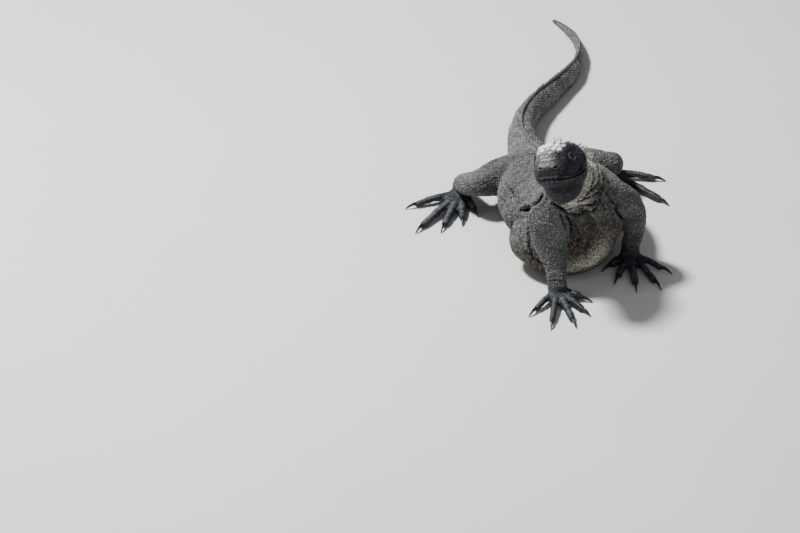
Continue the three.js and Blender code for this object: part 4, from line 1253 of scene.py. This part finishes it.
def crest_height(u):
    """As the solid's spines: tall on the nape, even on the back, falling away on the tail."""
    nape = 15 * (0.72 + 0.28 * np.sin((u - 0.9) * 1.6))
    chest = np.maximum(6.5, 15 * (1.25 - (u - 2.2) * 0.5))
    tail = 5.5 * np.minimum(1, (BODY_END + 0.4 - u) / 5)
    return np.where(u < 2.7, nape, np.where(u < 7, chest, np.where(u < 11.6, 6.5, tail)))


line = np.linspace(0.85, BODY_END - 0.25, 3000)
place = row_at(BODY, line)[:, :3]
travelled = np.concatenate([[0], np.cumsum(np.linalg.norm(np.diff(place, axis=0), axis=1))])
crest_u, run = [], 0.0
while run < travelled[-1]:
    here = float(np.interp(run, travelled, line))
    crest_u.append(here)
    run += 3.0 + 0.22 * float(crest_height(np.array(here)))
crest_u = np.array(crest_u)
at, along, side_way, up_way, sizes = stations(BODY, crest_u)
tall = crest_height(crest_u) * (0.86 + 0.28 * random.random(len(crest_u)))
root = at + up_way * (sizes[:, 1] - INSET)[:, None]
OCCIPUT = [(-2, 4, 8.5), (0, 10, 6), (0, 16, 7), (0, 20.5, 7.5)]  # across and along the head, height
for x, y, height in OCCIPUT:
    hit, facing = on_hide(from_head([x, y, 60]), -head_turn[:, 2])
    crest_u = np.concatenate([[0.5], crest_u])
    root, tall = np.concatenate([[hit], root]), np.concatenate([[height], tall])
    side_way = np.concatenate([[head_turn[:, 0]], side_way])
    along = np.concatenate([[head_turn[:, 1]], along])
    up_way = np.concatenate([[head_turn[:, 2]], up_way])
stout = np.where(crest_u < 0.6, 1.7, 1.0)
body_points, body_faces, spine_rise = [], [], []
for i in range(len(crest_u)):
    base = sum(len(p) for p in body_points)
    long, thick = 1.2 + 0.2 * tall[i], stout[i] * (0.85 + 0.06 * tall[i])
    sway = 0.12 * (random.random() - 0.5)
    angle = 2 * np.pi * np.arange(CREST_SIDES) / CREST_SIDES
    ring_list = []
    for t in np.linspace(-0.22, 1, CREST_RINGS):
        grow = max(0.0, 1 - max(t, 0) ** 1.5) ** 0.8 + 0.05
        centre = root[i] + up_way[i] * tall[i] * t + along[i] * 0.45 * tall[i] * max(t, 0) ** 1.6
        centre = centre + side_way[i] * sway * tall[i] * max(t, 0)
        ring_list.append(
            centre
            + along[i] * (long * grow * np.cos(angle))[:, None]
            + side_way[i] * (thick * grow * np.sin(angle))[:, None]
        )
    ring = np.concatenate(ring_list)
    body_points.append(np.concatenate([ring, ring_list[0].mean(0)[None], ring_list[-1].mean(0)[None]]))
    body_faces += [[v + base for v in face] for face in rings_to_faces(CREST_RINGS, CREST_SIDES)]
    spine_rise.append(np.concatenate([np.repeat(np.linspace(-0.22, 1, CREST_RINGS), CREST_SIDES), [0, 1]]))
horn, tree, surface = new_finish("crest_horn")
streak = pattern(tree, "ShaderNodeTexNoise", 260, Detail=4, Roughness=0.6).outputs[0]
IVORY, IVORY_GREY, ROOT_GREY = (0.62, 0.59, 0.50), (0.16, 0.155, 0.145), (0.055, 0.055, 0.055)
top = mixed(tree, stored(tree, "pale"), IVORY_GREY, IVORY)
top = mixed(tree, mapped(tree, streak, 0.4, 0.75), top, ROOT_GREY)
rooted = mixed(tree, mapped(tree, stored(tree, "rise"), 0.0, 0.35), ROOT_GREY, top)
link(tree, rooted, surface.inputs["Base Color"])
link(tree, mapped(tree, streak, 0.3, 0.7, 0.38, 0.6), surface.inputs["Roughness"])
add_relief(tree, surface, streak, 0.4, 0.3)


def smooth_piece(name, points, faces, finish):
    """A piece of horn or an eye, smooth and with a finish of its own."""
    mesh = bpy.data.meshes.new(name)
    mesh.from_pydata(to_frame(points).tolist(), [], faces)
    mesh.shade_smooth()
    mesh.materials.append(finish)
    piece = placed(name, mesh)
    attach(piece, "root")
    return piece


crest = smooth_piece("crest", np.concatenate(body_points), body_faces, horn)
write_values(crest.data, "rise", np.clip(np.concatenate(spine_rise), 0, 1))
write_values(crest.data, "pale", np.repeat(ramp(-crest_u, -9, -3.5), CREST_RINGS * CREST_SIDES + 2))

# Claws. Long curved hooks of dark, smooth horn, one on each digit, deep at the root, and a blunt
# worn tip that touches the ground.
CLAW_SIDES, CLAW_STEPS = 10, 12
claw_points, claw_faces, count = [], [], 0
for number, rows, heading, length in digits:
    tip = rows[-1, :3]
    steps = np.linspace(0, 1, 7)
    claw_rows = []
    for t in steps:
        reach = -4 + (length + 4) * t
        z = 3.4 + 2.3 * math.sin(math.pi * min(1, t * 1.15)) * (1 - 0.3 * t) - 2.6 * t**2.2
        radius = 2.35 * (1 - t) ** 0.75 + 0.35
        x, y = tip[:2] + reach * heading[:2]
        claw_rows.append([x, y, max(z, radius), 0.72 * radius, radius, radius])
    made_points, made_faces = tube(np.array(claw_rows), steps=CLAW_STEPS, sides=CLAW_SIDES)
    claw_points.append(made_points)
    claw_faces += [[v + count for v in face] for face in made_faces]
    count += len(made_points)
claw_horn, tree, surface = new_finish("claw_horn")
CLAW_BLACK, CLAW_WORN = (0.014, 0.013, 0.013), (0.09, 0.08, 0.068)
streak = pattern(tree, "ShaderNodeTexNoise", 300, Detail=5, Roughness=0.65).outputs[0]
worn = mixed(tree, mapped(tree, streak, 0.45, 0.75), CLAW_BLACK, CLAW_WORN)
link(tree, worn, surface.inputs["Base Color"])
link(tree, mapped(tree, streak, 0.3, 0.7, 0.22, 0.45), surface.inputs["Roughness"])
smooth_piece("claws", np.concatenate(claw_points), claw_faces, claw_horn)

# Eyes. Wet dark balls set deep under the brows, with a brown iris and a round black pupil; the
# clear front bulges a little between the lids.
EYE_ACROSS, EYE_DOWN = 48, 40
IRIS_DARK, IRIS_BROWN = (0.012, 0.008, 0.005), (0.040, 0.023, 0.011)
PUPIL, RIM = (0.002, 0.002, 0.002), (0.010, 0.008, 0.007)
iris, tree, surface = new_finish("eye")
from_front = stored(tree, "ring")
threads = pattern(tree, "ShaderNodeTexNoise", 900, Detail=4, Roughness=0.7).outputs[0]
inner = mixed(tree, mapped(tree, threads, 0.35, 0.7), IRIS_DARK, IRIS_BROWN)
inner = mixed(tree, mapped(tree, from_front, 0.27, 0.32), PUPIL, inner)
inner = mixed(tree, mapped(tree, from_front, 0.58, 0.70), inner, RIM)
link(tree, inner, surface.inputs["Base Color"])
link(tree, mapped(tree, threads, 0.3, 0.7, 0.08, 0.14), surface.inputs["Roughness"])
surface.inputs["Coat Weight"].default_value = 1.0
surface.inputs["Coat Roughness"].default_value = 0.02
for name, sign in (("eye_right", -1), ("eye_left", 1)):
    aim = EYE_AIM * [sign, 1, 1]
    back = unit(np.cross(UP, aim))
    top_way = np.cross(aim, back)
    ball_points, ball_faces = ball(np.zeros(3), np.ones(3), EYE_ACROSS, EYE_DOWN)
    ring = np.arccos(np.clip(ball_points[:, 2], -1, 1)) / (np.pi / 2)
    ball_points = ball_points * (1 + 0.05 * bump(ring, 0.45))[:, None] * (EYE_RADIUS - 0.1)
    ball_points = ball_points @ np.stack([back, top_way, aim]) + EYE_CENTRE * [sign, 1, 1]
    piece = smooth_piece(name + "_ball", from_head(ball_points), ball_faces, iris)
    write_values(piece.data, "ring", ring)
    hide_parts(name)

# Floor and light. A pale floor that sweeps up into a backdrop, a soft light high on the left, and
# two weak ones in front of the animal.
FLOOR_SIZE, FLOOR_END, SWEEP = 16.0, 12.0, 2.5
profile = [(-FLOOR_SIZE, 0), (FLOOR_END, 0)]
for angle in np.linspace(0.1, math.pi / 2, 12):
    profile.append((FLOOR_END + SWEEP * math.sin(angle), SWEEP * (1 - math.cos(angle))))
profile.append((FLOOR_END + SWEEP, FLOOR_END))
floor_points = [(x, y, z) for y, z in profile for x in (-FLOOR_SIZE, FLOOR_SIZE)]
floor_faces = [(2 * i, 2 * i + 1, 2 * i + 3, 2 * i + 2) for i in range(len(profile) - 1)]
floor_mesh = bpy.data.meshes.new("floor")
floor_mesh.from_pydata(floor_points, [], floor_faces)
floor_mesh.shade_smooth()
plaster, tree, surface = new_finish("plaster")
mottle = pattern(tree, "ShaderNodeTexNoise", 3, Detail=3).outputs[0]
link(tree, mixed(tree, mottle, (0.66, 0.655, 0.64), (0.70, 0.695, 0.68)), surface.inputs["Base Color"])
surface.inputs["Roughness"].default_value = 0.9
floor_mesh.materials.append(plaster)
placed("floor", floor_mesh)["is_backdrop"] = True


def softbox(name, place, target, size, power):
    light = bpy.data.lights.new(name, "AREA")
    light.shape = "DISK"
    light.size = size
    light.energy = power
    made = placed(name, light)
    made.location = place
    made.rotation_euler = (Vector(target) - Vector(place)).to_track_quat("-Z", "Y").to_euler()
    made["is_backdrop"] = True


middle = Vector(to_frame(np.array([0.0, 60, 70])))
softbox("key", (-1.15, 0.1, 2.2), middle, 0.4, 90)
softbox("front", (0.8, -2.6, 1.4), middle, 1.6, 10)
softbox("left", (-2.4, -1.2, 1.0), middle, 1.2, 7)
world = bpy.data.worlds.new("room")
world.use_nodes = True
air = world.node_tree.nodes["Background"].inputs
air["Color"].default_value = (0.80, 0.83, 0.88, 1)
air["Strength"].default_value = 0.26
bpy.context.scene.world = world
bpy.context.scene.view_settings.view_transform = "AgX"
bpy.context.scene.view_settings.look = "AgX - Medium High Contrast"

# The camera looks along +Y from 30 degrees above, from far off, framed as in the picture.
DISTANCE = 9.0
VIEW_WIDTH = 0.896
SENSOR = 36
aim = Vector(to_frame(np.array([-189.6, 0.0, 39.2])))
back = Vector(SEEN_FROM)
camera = placed("camera", bpy.data.cameras.new("camera"))
camera.data.sensor_width = SENSOR
camera.data.lens = SENSOR * DISTANCE / VIEW_WIDTH
camera.location = aim + DISTANCE * back
camera.rotation_euler = (-back).to_track_quat("-Z", "Y").to_euler()
camera.data.clip_end = 100
bpy.context.scene.camera = camera

low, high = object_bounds()
